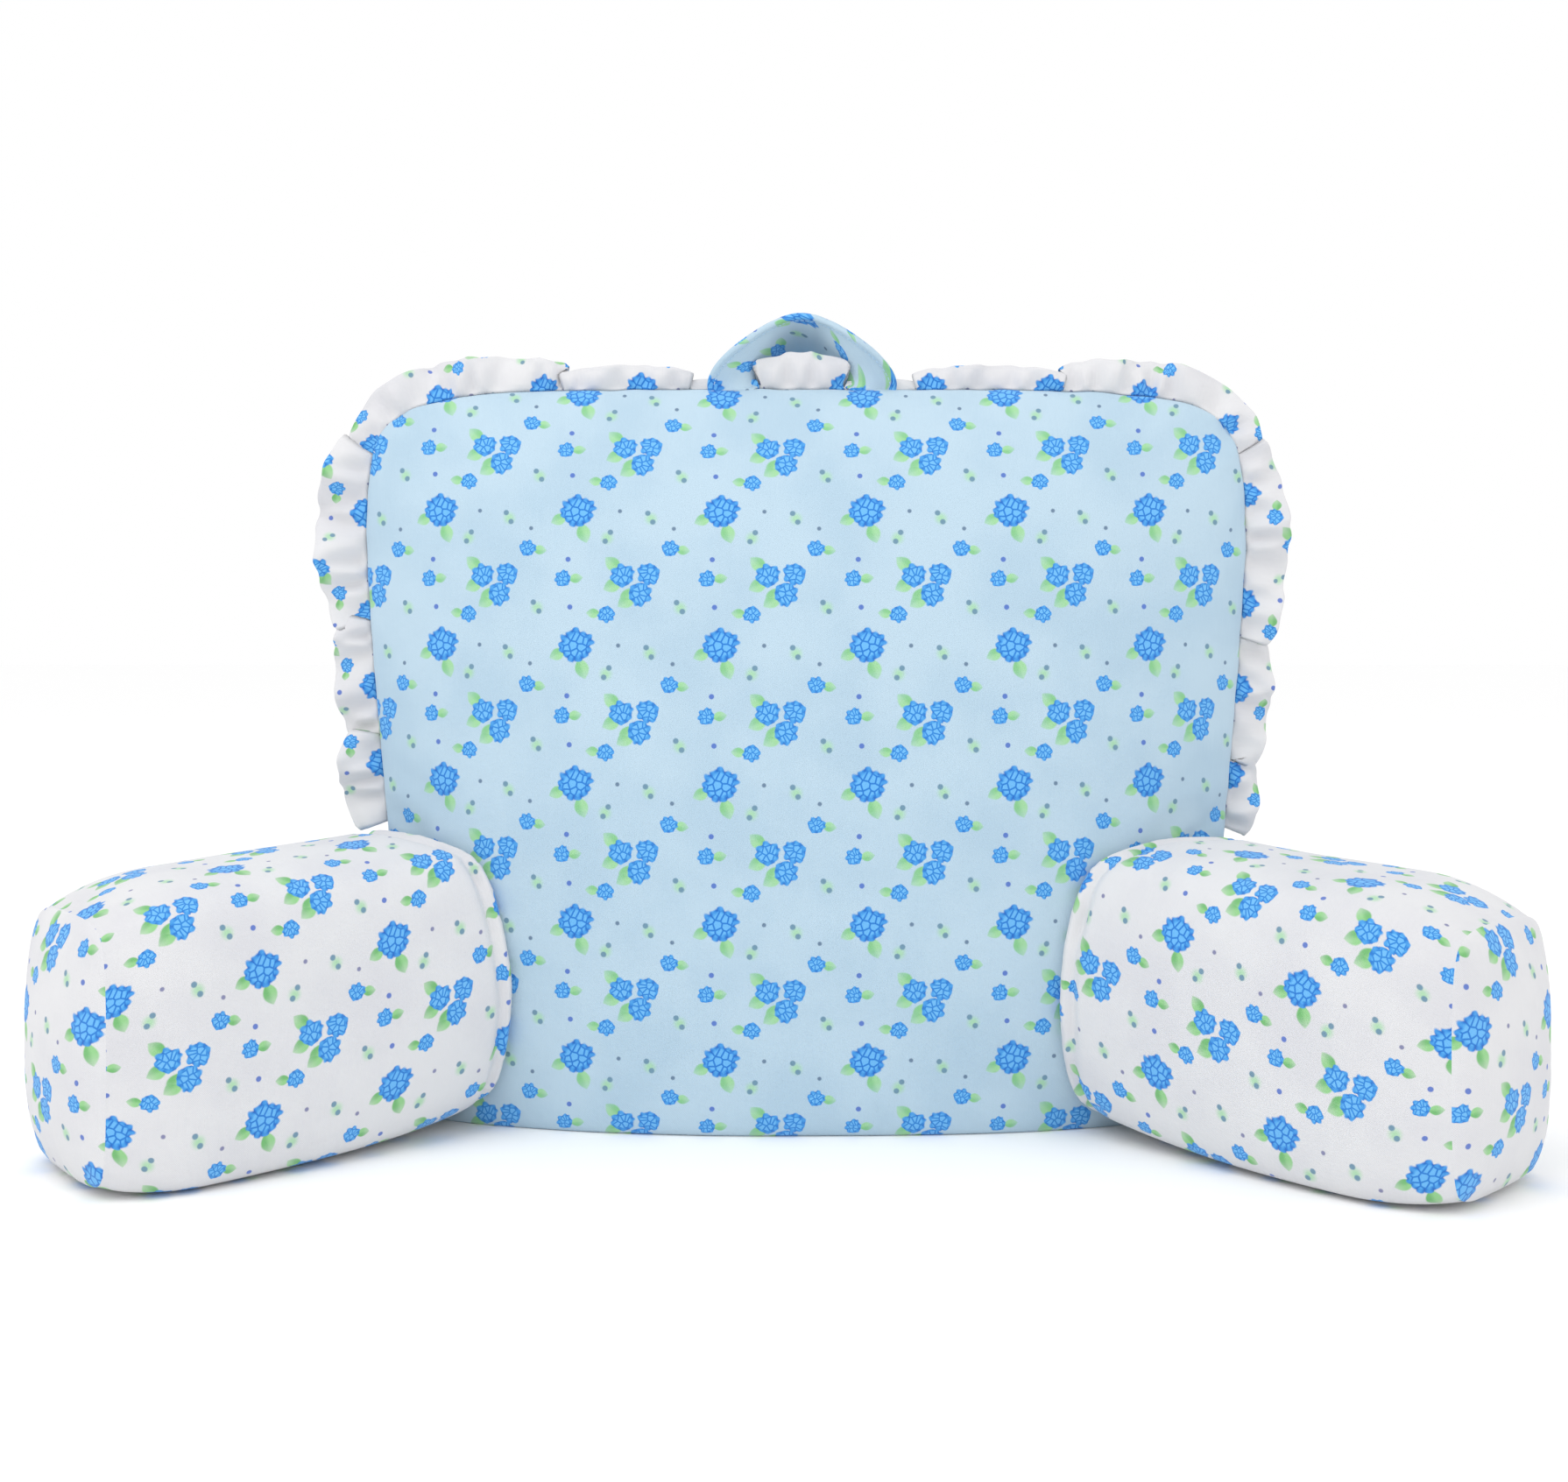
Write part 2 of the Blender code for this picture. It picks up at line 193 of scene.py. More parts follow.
@dataclass(frozen=True)
class Bloom:
    """A printed flower head, drawn by rule inside a circle of radius 1."""

    name: str
    scallops: float
    petals: float
    seed: float
    heart: float
    shades: tuple[str, str, str, str]
    squeeze: tuple[float, float, float] = (0.97, 1.16, 1.0)
    wobble: float = 0.5
    outline_low: float = 0.88
    outline_lobe: float = 0.10
    fold_line: float = 0.01
    fold_reach: float = 0.19
    fold_tone: float = 0.20
    petal_tone: float = 0.84
    rim_reach: float = 0.24
    rim_cover: float = 0.9
    rim_tone: float = 0.55
    shade_stops: tuple[float, float, float, float] = (0.0, 0.34, 0.72, 1.0)

    def group(self) -> bpy.types.NodeTree:
        """Make the bloom's group, from a place in radii to Colour and Mask.

        Returns:
            The group's tree.
        """
        stops = tuple(zip(self.shade_stops, self.shades))
        steps = (
            ("spread", VECTOR, "MULTIPLY", ("Place", self.squeeze)),
            ("drift", NOISE, FLAT_NOISE, {"Vector": "Place", "Scale": 1.5, "Detail": 1.0}),
            ("parts", SEPARATE, {}, ("spread",)),
            ("length", VECTOR, "LENGTH", ("spread",)),
            ("wobble", MATH, "MULTIPLY_ADD", ("drift", self.wobble, -self.wobble / 2)),
            ("radius", MATH, "ADD", ("length", "wobble")),
            ("angle", MATH, "ARCTAN2", ("parts.Y", "parts.X")),
            ("lobe_turn", MATH, "MULTIPLY", ("angle", self.scallops / 2)),
            ("lobe_wave", MATH, "SINE", ("lobe_turn",)),
            ("lobe", MATH, "ABSOLUTE", ("lobe_wave",)),
            ("outline", MATH, "MULTIPLY_ADD", ("lobe", self.outline_lobe, self.outline_low)),
            ("outside", MATH, "SUBTRACT", ("radius", "outline")),
            ("Mask", RANGE, SOFT_STEP, ("outside", 0.06, -0.05, 0.0, 1.0)),
            ("shifted", VECTOR, "ADD", ("Place", (self.seed, 0.4, 0.0))),
            ("folds", "ShaderNodeTexVoronoi", {"voronoi_dimensions": "2D", "feature": "DISTANCE_TO_EDGE"},
             {"Vector": "shifted", "Scale": self.petals, "Randomness": 0.9}),
            ("petal", RANGE, SOFT_STEP,
             ("folds", self.fold_line, self.fold_reach, self.fold_tone, self.petal_tone)),
            ("rim", RANGE, SOFT_STEP,
             ("radius", self.heart, self.heart + self.rim_reach, 0.0, self.rim_cover)),
            ("rim_tone", MATH, "MULTIPLY_ADD", ("lobe", self.rim_tone, 0.0)),
            ("tone", MIX, BLEND_NUMBER, {0: "rim", 2: "petal", 3: "rim_tone"}),
            ("Colour", RAMP, {"stops": stops}, ("tone",)),
        )
        return make_group(self.name, {"Colour": "NodeSocketColor", "Mask": "NodeSocketFloat"}, steps)


# A leaf from its stalk at 0 to its tip at 1 along X, which fades towards the tip.
LEAF_STEPS = (
    ("parts", SEPARATE, {}, ("Place",)),
    ("rest", MATH, "SUBTRACT", (1.0, "parts.X")),
    ("hump", MATH, "MULTIPLY", ("parts.X", "rest")),
    ("side", MATH, "ABSOLUTE", ("parts.Y",)),
    ("beyond", MATH, "MULTIPLY_ADD", ("hump", -1.30, "side")),
    ("inside", RANGE, SOFT_STEP, ("beyond", 0.05, -0.05, 0.0, 1.0)),
    ("fade", RANGE, SOFT_STEP, ("parts.X", 0.4, 1.1, 1.0, 0.55)),
    ("Mask", MATH, "MULTIPLY", ("inside", "fade")),
    ("Tone", RANGE, SOFT_STEP, ("parts.Y", -0.15, 0.12, 0.0, 1.0)),
)

# Two tiny buds joined by a pale green smear.
SPRIG_STEPS = (
    ("first", VECTOR, "DISTANCE", ("Place", (-0.45, 0.95, 0.0))),
    ("second", VECTOR, "DISTANCE", ("Place", (0.55, -0.85, 0.0))),
    ("nearer", MATH, "MINIMUM", ("first.Value", "second.Value")),
    ("Bud", RANGE, SOFT_STEP, ("nearer", 0.68, 0.40, 0.0, 0.95)),
    ("middle", VECTOR, "DISTANCE", ("Place", (0.2, -0.15, 0.0))),
    ("Stem", RANGE, SOFT_STEP, ("middle.Value", 1.7, 0.2, 0.0, 0.85)),
)

# Motifs of one repeat of the print: across and up from the peony, and the size, in
# millimetres, and the turn in degrees. A leaf is placed by its stalk.
SPOT_COLUMNS = ("across", "up", "size", "turn")
PEONY_ROWS = ((0.0, 0.0, 11.0, 20.0),)
ROSE_ROWS = (
    (54.8, -22.6, 5.4, 0.0),
    (-8.0, -40.7, 5.3, 70.0),
    (18.1, -61.4, 5.4, 200.0),
    (27.0, -38.8, 7.6, 30.0),
    (42.6, -38.0, 7.3, 140.0),
    (37.6, -49.4, 7.6, 260.0),
)
LEAF_ROWS = (
    (-6.0, -3.0, 10.5, 204.0),
    (2.0, -7.5, 12.5, 288.0),
    (26.0, -36.0, 12.0, 138.0),
    (27.0, -42.0, 12.0, 205.0),
    (35.0, -50.0, 12.5, 214.0),
    (34.0, -46.0, 13.0, 236.0),
    (58.0, -23.0, 8.5, -8.0),
    (-4.5, -41.0, 8.5, 8.0),
    (14.6, -61.2, 8.5, 176.0),
)
HEART_ROWS = ((-5.0, -29.2, 1.6, 0.0), (-3.5, -57.3, 1.6, 0.0))
DOT_ROWS = ((25.1, 0.0, 1.35, 0.0), (56.8, -10.6, 1.35, 0.0))
SPRIG_ROWS = ((42.8, -4.0, 3.0, 0.0), (18.1, -15.6, 3.0, -58.0), (60.4, -57.3, 3.0, 4.0))
LEAF_MIDDLE = 0.45


@dataclass(frozen=True)
class PrintedCotton:
    """Brushed cotton with a small floral print, plain woven from fine threads."""

    name: str
    ground: str
    ground_shade: str
    leaf: str
    leaf_shade: str
    bud: str = "#6B8FA6"
    stem: str = "#A4D4A8"
    heart: str = "#4A6CC0"
    dot: str = "#566F8C"
    repeat: tuple[float, float] = (0.0843, 0.0796)
    # The threads lie about 0.3 mm apart, too fine to show, so they are drawn at 0.9 mm.
    thread: float = 0.0009
    weave_depth: float = 0.00006
    crumple_depth: float = 0.0006

    def nearest(self, tree: bpy.types.NodeTree, flat: bpy.types.Node, rows: tuple,
                middle: float = 0.0) -> bpy.types.Node:
        """Add the nodes that find the nearest motif of one kind.

        Args:
            tree: the material's tree.
            flat: the node that gives the place on the cloth, in metres.
            rows: the motifs of one repeat.
            middle: where along a motif's own X its middle is.

        Returns:
            A node that gives the place within that motif, in its own size.
        """
        half = (self.repeat[0] / 2, self.repeat[1] / 2, 0.5)
        known = {"flat": flat}
        for i, row in enumerate(rows):
            spot = dict(zip(SPOT_COLUMNS, row))
            size = spot["size"] * MM
            turn = (0.0, 0.0, math.radians(spot["turn"]))
            lay_steps(tree, (
                ("from", VECTOR, "SUBTRACT", ("flat", (spot["across"] * MM, spot["up"] * MM, 0.0))),
                ("folded", VECTOR, "WRAP", ("from", half, tuple(-side for side in half))),
                ("place", MAPPING, {"vector_type": "TEXTURE"},
                 {"Vector": "folded", "Rotation": turn, "Scale": (size, size, 1.0)}),
                ("away", VECTOR, "DISTANCE", ("place", (middle, 0.0, 0.0))),
            ), known)
            if i == 0:
                known["best"] = known["place"]
                known["least"] = known["away"]
                continue
            lay_steps(tree, (
                ("closer", MATH, "LESS_THAN", ("away", "least")),
                ("best", MIX, BLEND_VECTOR, {0: "closer", 4: "best", 5: "place"}),
                ("least", MATH, "MINIMUM", ("away", "least")),
            ), known)
        return known["best"]

    def print_colour(self, tree: bpy.types.NodeTree, flat: bpy.types.Node, groups: dict,
                     ground: bpy.types.Node) -> bpy.types.Node:
        """Add the printed motifs over the ground colour.

        Args:
            tree: the material's tree.
            flat: the node that gives the place on the cloth, in metres.
            groups: the motif groups by name.
            ground: the node that gives the ground's colour.

        Returns:
            The node that gives the printed colour.
        """
        known = {"ground": ground}
        spots = {"sprig": SPRIG_ROWS, "leaf": LEAF_ROWS, "rose": ROSE_ROWS, "peony": PEONY_ROWS}
        for name, rows in spots.items():
            place = self.nearest(tree, flat, rows, LEAF_MIDDLE if name == "leaf" else 0.0)
            known[name] = add_node(tree, "ShaderNodeGroup", {"node_tree": groups[name]}, {0: place})
        for name, rows in (("heart", HEART_ROWS), ("dot", DOT_ROWS)):
            known[name] = self.nearest(tree, flat, rows)
        return lay_steps(tree, (
            ("stems", MIX, BLEND_COLOUR, {0: "sprig.Stem", 6: "ground", 7: linear(self.stem)}),
            ("buds", MIX, BLEND_COLOUR, {0: "sprig.Bud", 6: "stems", 7: linear(self.bud)}),
            ("heart_out", VECTOR, "LENGTH", ("heart",)),
            ("heart_mask", RANGE, SOFT_STEP, ("heart_out", 1.15, 0.75, 0.0, 0.9)),
            ("hearts", MIX, BLEND_COLOUR, {0: "heart_mask", 6: "buds", 7: linear(self.heart)}),
            ("dot_out", VECTOR, "LENGTH", ("dot",)),
            ("dot_mask", RANGE, SOFT_STEP, ("dot_out", 1.2, 0.6, 0.0, 0.85)),
            ("dots", MIX, BLEND_COLOUR, {0: "dot_mask", 6: "hearts", 7: linear(self.dot)}),
            ("leaf_tone", MIX, BLEND_COLOUR,
             {0: "leaf.Tone", 6: linear(self.leaf_shade), 7: linear(self.leaf)}),
            ("leaves", MIX, BLEND_COLOUR, {0: "leaf.Mask", 6: "dots", 7: "leaf_tone"}),
            ("roses", MIX, BLEND_COLOUR, {0: "rose.Mask", 6: "leaves", 7: "rose.Colour"}),
            ("peonies", MIX, BLEND_COLOUR, {0: "peony.Mask", 6: "roses", 7: "peony.Colour"}),
        ), known)["peonies"]

    def material(self, groups: dict) -> bpy.types.Material:
        """Make the printed cotton. It gives a soft, matt cloth with a faint pale nap at grazing angles.

        Args:
            groups: the motif groups by name.

        Returns:
            The material.
        """
        material = bpy.data.materials.new(self.name)
        material.use_nodes = True
        tree = material.node_tree
        shader = tree.nodes["Principled BSDF"]
        shader.inputs["Metallic"].default_value = 0.0
        shader.inputs["IOR"].default_value = 1.46
        shader.inputs["Specular IOR Level"].default_value = 0.3
        shader.inputs["Sheen Weight"].default_value = 0.18
        shader.inputs["Sheen Roughness"].default_value = 0.5
        wave = 2 * math.pi / self.thread
        known = lay_steps(tree, (
            ("flat", "ShaderNodeUVMap", {"uv_map": CLOTH_MAP}, {}),
            ("cloud", NOISE, FLAT_NOISE, {"Vector": "flat", "Scale": 16.0, "Detail": 3.0}),
            ("slubs", MAPPING, {}, {"Vector": "flat", "Scale": (900.0, 60.0, 1.0)}),
            ("slub", NOISE, FLAT_NOISE, {"Vector": "slubs", "Scale": 1.0, "Detail": 2.0}),
            ("patchy", MATH, "MULTIPLY_ADD", ("slub", 0.12, "cloud")),
            ("shade", RANGE, SOFT_STEP, ("patchy", 0.38, 0.80, 0.0, 1.0)),
            ("ground", MIX, BLEND_COLOUR,
             {0: "shade", 6: linear(self.ground), 7: linear(self.ground_shade)}),
        ), {})
        printed = self.print_colour(tree, known["flat"], groups, known["ground"])
        known["printed"] = printed
        lay_steps(tree, (
            ("threads", VECTOR, "MULTIPLY", ("flat", (wave, wave, 1.0))),
            ("along", SEPARATE, {}, ("threads",)),
            ("warp", MATH, "SINE", ("along.X",)),
            ("weft", MATH, "SINE", ("along.Y",)),
            ("weave", MATH, "MULTIPLY", ("warp", "weft")),
            ("crumple", NOISE, FLAT_NOISE, {"Vector": "flat", "Scale": 45.0, "Detail": 3.0}),
            ("soft_bump", "ShaderNodeBump", {},
             {"Height": "crumple", "Distance": self.crumple_depth, "Strength": 1.0}),
            ("bump", "ShaderNodeBump", {},
             {"Height": "weave", "Distance": self.weave_depth, "Strength": 1.0, "Normal": "soft_bump"}),
            ("matt", RANGE, {}, ("slub", 0.3, 0.7, 0.78, 0.92)),
        ), known)
        tree.links.new(next(s for s in printed.outputs if s.enabled), shader.inputs["Base Color"])
        tree.links.new(known["matt"].outputs[0], shader.inputs["Roughness"])
        tree.links.new(known["bump"].outputs[0], shader.inputs["Normal"])
        return material


PEONY = Bloom("printed peony", 13.0, 2.7, 3.2, 0.60, ("#2560B6", "#2F80D2", "#56A8E8", "#80C4F4"))
ROSE = Bloom("printed rose", 8.0, 2.2, 7.7, 0.60, ("#2C68BA", "#3588D6", "#5CACE8", "#86C6F4"))
BLUE_COTTON = PrintedCotton("pale blue printed cotton", "#B9D0DF", "#B0C9DA", "#9ED29E", "#86C48C")
WHITE_COTTON = PrintedCotton("white printed cotton", "#DCDCDE", "#D5D5D9", "#93CB8C", "#74B673",
                             dot="#6D6F9C", repeat=(0.0792, 0.0800))


@dataclass(frozen=True)
class SewingThread:
    """Polyester sewing thread, smooth and a little glossy against the matt cloth."""

    name: str = "pale blue sewing thread"
    colour: str = "#B4D2E8"

    def material(self) -> bpy.types.Material:
        """Make the thread, with a faint twist.

        Returns:
            The material.
        """
        material = bpy.data.materials.new(self.name)
        material.use_nodes = True
        tree = material.node_tree
        shader = tree.nodes["Principled BSDF"]
        shader.inputs["Base Color"].default_value = linear(self.colour)
        shader.inputs["Metallic"].default_value = 0.0
        shader.inputs["Sheen Weight"].default_value = 0.1
        known = lay_steps(tree, (
            ("spot", "ShaderNodeTexCoord", {}, {}),
            ("twist", "ShaderNodeTexWave", {"bands_direction": "DIAGONAL"},
             {"Vector": "spot.Object", "Scale": 900.0}),
            ("gloss", RANGE, {}, ("twist", 0.0, 1.0, 0.45, 0.62)),
            ("bump", "ShaderNodeBump", {}, {"Height": "twist", "Distance": 0.00005}),
        ), {})
        tree.links.new(known["gloss"].outputs[0], shader.inputs["Roughness"])
        tree.links.new(known["bump"].outputs[0], shader.inputs["Normal"])
        return material


@dataclass(frozen=True)
class StudioFloor:
    """Matt white studio board, which shows only the soft shadow under the pillow."""

    colour: str = "#FEFEFE"
    size: float = 14.0

    def build(self) -> None:
        """Lay the floor."""
        mesh = bpy.data.meshes.new("studio_floor")
        half = self.size / 2
        corners = [(-half, -half, 0), (half, -half, 0), (half, half, 0), (-half, half, 0)]
        mesh.from_pydata(corners, [], [(0, 1, 2, 3)])
        material = bpy.data.materials.new("white studio board")
        material.use_nodes = True
        tree = material.node_tree
        shader = tree.nodes["Principled BSDF"]
        shader.inputs["Specular IOR Level"].default_value = 0.1
        shader.inputs["Base Color"].default_value = linear(self.colour)
        known = lay_steps(tree, (
            ("spot", "ShaderNodeTexCoord", {}, {}),
            ("grain", NOISE, {}, {"Vector": "spot.Object", "Scale": 6.0}),
            ("matt", RANGE, {}, ("grain", 0.3, 0.7, 0.9, 1.0)),
        ), {})
        tree.links.new(known["matt"].outputs[0], shader.inputs["Roughness"])
        mesh.materials.append(material)
        floor = bpy.data.objects.new("studio_floor", mesh)
        bpy.context.scene.collection.objects.link(floor)


def rest_on_floor(height: float, rounding: float) -> float:
    """Flatten what lies below the floor, with a soft turn.

    Args:
        height: the height before.
        rounding: how far above and below the floor the turn reaches.

    Returns:
        The height after, never below the floor.
    """
    if abs(height) < rounding:
        return (height + rounding) ** 2 / (4 * rounding)
    return max(height, 0.0)


def round_corners(across: float, up: float, power: float) -> tuple[float, float]:
    """Draw the corners of the square -1..1 in, so that its rim turns them smoothly."""
    pull = abs(across * up) ** power / (2 * power + 1)
    return across * (1 - pull), up * (1 - pull)


def eased_steps(count: int) -> list[float]:
    """Numbers from -1 to 1 that lie closer together near both ends."""
    even = [2 * i / count - 1 for i in range(count + 1)]
    return [u * (3 - u * u) / 2 for u in even]


def valley(distance: float, width: float) -> float:
    """Share of a crease's depth at a distance from its line."""
    return math.exp(-((distance / width) ** 2))


def ripple(x: float, y: float, z: float) -> float:
    """Smooth noise from about -1 to 1, the same in each run."""
    return noise.noise(Vector((x, y, z)))


class Panels:
    """Cloth panels of one piece, welded into one closed mesh that keeps its flat map."""

    def __init__(self) -> None:
        """Start with no panels."""
        self.points: list = []
        self.faces: list = []
        self.flat: list = []

    def add(self, points: Grid, flat: Grid) -> None:
        """Add one panel.

        Args:
            points: rows of points, in metres.
            flat: for each point, its place on the flat cloth.
        """
        rows, columns = points.shape[:2]
        start = len(self.points)
        self.points.extend(points.reshape(-1, 3).tolist())
        flat_rows = flat.reshape(-1, 2).tolist()
        for i in range(rows - 1):
            for j in range(columns - 1):
                a = i * columns + j
                face = (a, a + 1, a + columns + 1, a + columns)
                self.faces.append([start + corner for corner in face])
                self.flat.extend(flat_rows[corner] for corner in face)

    def piece(self, name: str, material: bpy.types.Material) -> bpy.types.Object:
        """Weld the panels and make the object.

        Args:
            name: the piece's name.
            material: its cloth.

        Returns:
            The object, at the origin.
        """
        mesh = bpy.data.meshes.new(name)
        mesh.from_pydata([tuple(Vector(p) + PLACE) for p in self.points], [], self.faces)
        layer = mesh.uv_layers.new(name=CLOTH_MAP)
        layer.data.foreach_set("uv", np.array(self.flat, np.float32).ravel())
        body = bmesh.new()
        body.from_mesh(mesh)
        bmesh.ops.remove_doubles(body, verts=body.verts, dist=WELD)
        loose = [edge for edge in body.edges if not edge.link_faces]
        bmesh.ops.delete(body, geom=loose, context="EDGES")
        bmesh.ops.recalc_face_normals(body, faces=body.faces)
        open_edges = sum(1 for edge in body.edges if len(edge.link_faces) != 2)
        body.to_mesh(mesh)
        body.free()
        mesh.shade_smooth()
        mesh.materials.append(material)
        made = bpy.data.objects.new(name, mesh)
        bpy.context.scene.collection.objects.link(made)
        LOG.info("%s: %d faces, %d open edges", name, len(mesh.polygons), open_edges)
        return made


def lengths_along(points: Grid, axis: int) -> Grid:
    """Lengths along the rows or columns of a panel, from its first point.

    Args:
        points: rows of points.
        axis: 0 to measure down the columns, 1 along the rows.

    Returns:
        The length at each point.
    """
    steps = np.linalg.norm(np.diff(points, axis=axis), axis=2)
    total = np.cumsum(steps, axis=axis)
    first = np.zeros_like(np.take(total, [0], axis=axis))
    return np.concatenate([first, total], axis=axis)


def centred_map(points: Grid, origin: tuple[float, float], facing: Facing) -> Grid:
    """Flat map of a crowned panel, measured from its middle.

    Args:
        points: rows of points, upwards, each row from left to right.
        origin: the flat place that the panel's middle gets.
        facing: the side from which the print reads the right way.

    Returns:
        The flat place of each point.
    """
    rows, columns = points.shape[:2]
    across = lengths_along(points, 1)
    up = lengths_along(points, 0)
    across = across - across[:, columns // 2][:, None]
    up = up - up[rows // 2, :][None, :]
    return np.stack([facing.value * across + origin[0], up + origin[1]], axis=2)


@dataclass
class BackCushion:
    """The filled back: a crowned front panel, a band round its edge and a flatter rear panel."""

    top: float = 0.436
    closes_below: float = 0.100
    half_at_floor: float = 0.236
    half_at_shoulder: float = 0.268
    shoulder: float = 0.370
    corner_power: float = 6.0
    seam_wander: float = 0.0045
    seam_lip: float = 0.0035
    seam_plane: float = 0.070
    front_crown: float = 0.074
    crown_spread: float = 2.35
    crown_fullness: float = 0.66
    band_width: float = 0.085
    band_bulge: float = 0.006
    rear_crown: float = 0.020
    floor_rounding: float = 0.018
    steps_across: int = 150
    steps_up: int = 130
    band_steps: int = 10
    pucker: float = 0.0016
    pucker_reach: float = 0.016
    pucker_rate: float = 15.0
    fine_pucker_rate: float = 34.0
    corner_gather: float = 1.6
    swell: float = 0.0022
    swell_rate: float = 9.0
    fine_swell: float = 0.0005
    fine_swell_rate: float = 38.0
    seam_hold: float = 0.003
    lip_rise: float = 0.0012
    lip_fade: float = 0.010
    band_pucker: float = 0.0012
    band_pucker_reach: float = 0.02
    front_print: tuple[float, float] = (-0.0345, -0.0370)
    rear_print: tuple[float, float] = (0.03, 0.02)
    # Creases of the front panel: two ends across and up, depth and width.
    creases: tuple = (
        (0.226, 0.168, 0.252, 0.190, 0.0030, 0.0050),
        (0.205, 0.176, 0.232, 0.187, 0.0016, 0.0045),
        (-0.248, 0.186, -0.226, 0.172, 0.0026, 0.0045),
        (-0.236, 0.206, -0.213, 0.190, 0.0014, 0.0050),
    )

    def seam(self, across: float, up: float) -> tuple[float, float]:
        """Place of a panel coordinate in the plane of the front seam.

        Args:
            across: from -1 at the left seam to 1 at the right.
            up: from -1 at the bottom to 1 at the top.

        Returns:
            The distance from the middle and the height.
        """
        s, t = round_corners(across, up, self.corner_power)
        middle = (self.top - self.closes_below) / 2
        height = middle + t * (self.top - middle)
        slope = (self.half_at_shoulder - self.half_at_floor) / self.shoulder
        pull = 1 + self.seam_wander * max(abs(s), abs(t)) ** 8 * ripple(s * 15, t * 12, 40.0)
        return s * (self.half_at_floor + slope * height) * pull, middle + (height - middle) * pull

    def crown(self, across: float, up: float) -> float:
        """How far the filling lifts a panel, from 0 at its seam to 1 in its middle."""
        inside = (1 - abs(across) ** self.crown_spread) * (1 - abs(up) ** self.crown_spread)
        return max(inside, 0.0) ** self.crown_fullness

    def relief(self, across: float, up: float, x: float, z: float, seed: float) -> float:
        """Puckers at the seam and soft unevenness of the filling.

        Args:
            across: panel coordinate.
            up: panel coordinate.
            x: place across.
            z: height.
            seed: which panel it is.

        Returns:
            How far the cloth stands out, which is nothing at the seam itself.
        """
        from_seam = min((1 - abs(across)) * self.half_at_shoulder, (1 - abs(up)) * self.top / 2)
        kept = 1 - math.exp(-from_seam / self.seam_hold)
        middle = (self.top - self.closes_below) / 2
        away = math.hypot(x, z - middle) + 1e-9
        ray = Vector((x / away, (z - middle) / away))
        corner = 1 + self.corner_gather * abs(across * up) ** 3
        broad, fine = self.pucker_rate, self.fine_pucker_rate
        gather = ripple(ray.x * broad, ray.y * broad, seed)
        gather += 0.6 * ripple(ray.x * fine, ray.y * fine, seed + 4)
        puckers = self.pucker * corner * gather * math.exp(-from_seam / self.pucker_reach)
        uneven = self.swell * ripple(x * self.swell_rate, z * self.swell_rate, seed + 8)
        crinkle = self.fine_swell * ripple(x * self.fine_swell_rate, z * self.fine_swell_rate, seed + 12)
        return kept * (puckers + uneven + crinkle)

    def crease_depth(self, x: float, z: float) -> float:
        """Depth of the creases where the arms pull at the front panel.

        Args:
            x: place across.
            z: height.

        Returns:
            The depth of all creases together.
        """
        depth = 0.0
        for from_x, from_z, to_x, to_z, deep, width in self.creases:
            start, end, spot = Vector((from_x, from_z)), Vector((to_x, to_z)), Vector((x, z))
            run = end - start
            share = min(max((spot - start).dot(run) / run.length_squared, 0.0), 1.0)
            depth += deep * valley((spot - start - run * share).length, width)
        return depth

    def point(self, x: float, y: float, z: float, on_floor: bool) -> tuple[float, float, float]:
        """A point of the back, flattened where it stands on the floor."""
        return x, y, rest_on_floor(z, self.floor_rounding) if on_floor else z

    def front(self, across: float, up: float, on_floor: bool = True) -> tuple[float, float, float]:
        """Point of the front panel, which is also without relief where it isn't flattened.

        Args:
            across: panel coordinate.
            up: panel coordinate.
            on_floor: whether the point is flattened where it would lie below the floor.

        Returns:
            The point.
        """
        x, z = self.seam(across, up)
        crown = self.crown(across, up)
        out = self.front_crown * crown
        if on_floor:
            out += self.relief(across, up, x, z, 0.0) - self.crease_depth(x, z) * min(8 * crown, 1.0)
        inside = min((1 - abs(across)) * self.half_at_shoulder, (1 - abs(up)) * self.top / 2)
        lip = self.seam_lip * (1 - math.exp(-inside / self.lip_rise)) * math.exp(-inside / self.lip_fade)
        outward = Vector((x, z - self.top / 2)).normalized() * lip
        return self.point(x + outward.x, self.seam_plane - out, z + outward.y, on_floor)

    def rear(self, across: float, up: float, on_floor: bool = True) -> tuple[float, float, float]:
        """Point of the rear panel.

        Args:
            across: panel coordinate.
            up: panel coordinate.
            on_floor: whether the point is flattened where it would lie below the floor.

        Returns:
            The point.
        """
        x, z = self.seam(across, up)
        out = self.rear_crown * self.crown(across, up) + self.relief(across, up, x, z, 20.0)
        return self.point(x, self.seam_plane + self.band_width + out, z, on_floor)

    def band(self, across: float, up: float, depth: float,
             on_floor: bool = True) -> tuple[float, float, float]:
        """Point of the band.

        Args:
            across: panel coordinate on the rim.
            up: panel coordinate on the rim.
            depth: from 0 at the front seam to 1 at the rear one.
            on_floor: whether the point is flattened where it would lie below the floor.

        Returns:
            The point.
        """
        x, z = self.seam(across, up)
        from_seam = min(depth, 1 - depth) * self.band_width
        gather = ripple(x * 60, z * 60, 30.0) + 0.5 * ripple(x * 130, z * 130, 34.0)
        swell = self.band_bulge * math.sin(math.pi * depth) ** 0.7
        held = 1 - math.exp(-from_seam / self.seam_hold)
        swell += held * self.band_pucker * gather * math.exp(-from_seam / self.band_pucker_reach)
        outward = Vector((x, z - self.top / 2)).normalized() * swell
        return self.point(x + outward.x, self.seam_plane + self.band_width * depth, z + outward.y, on_floor)

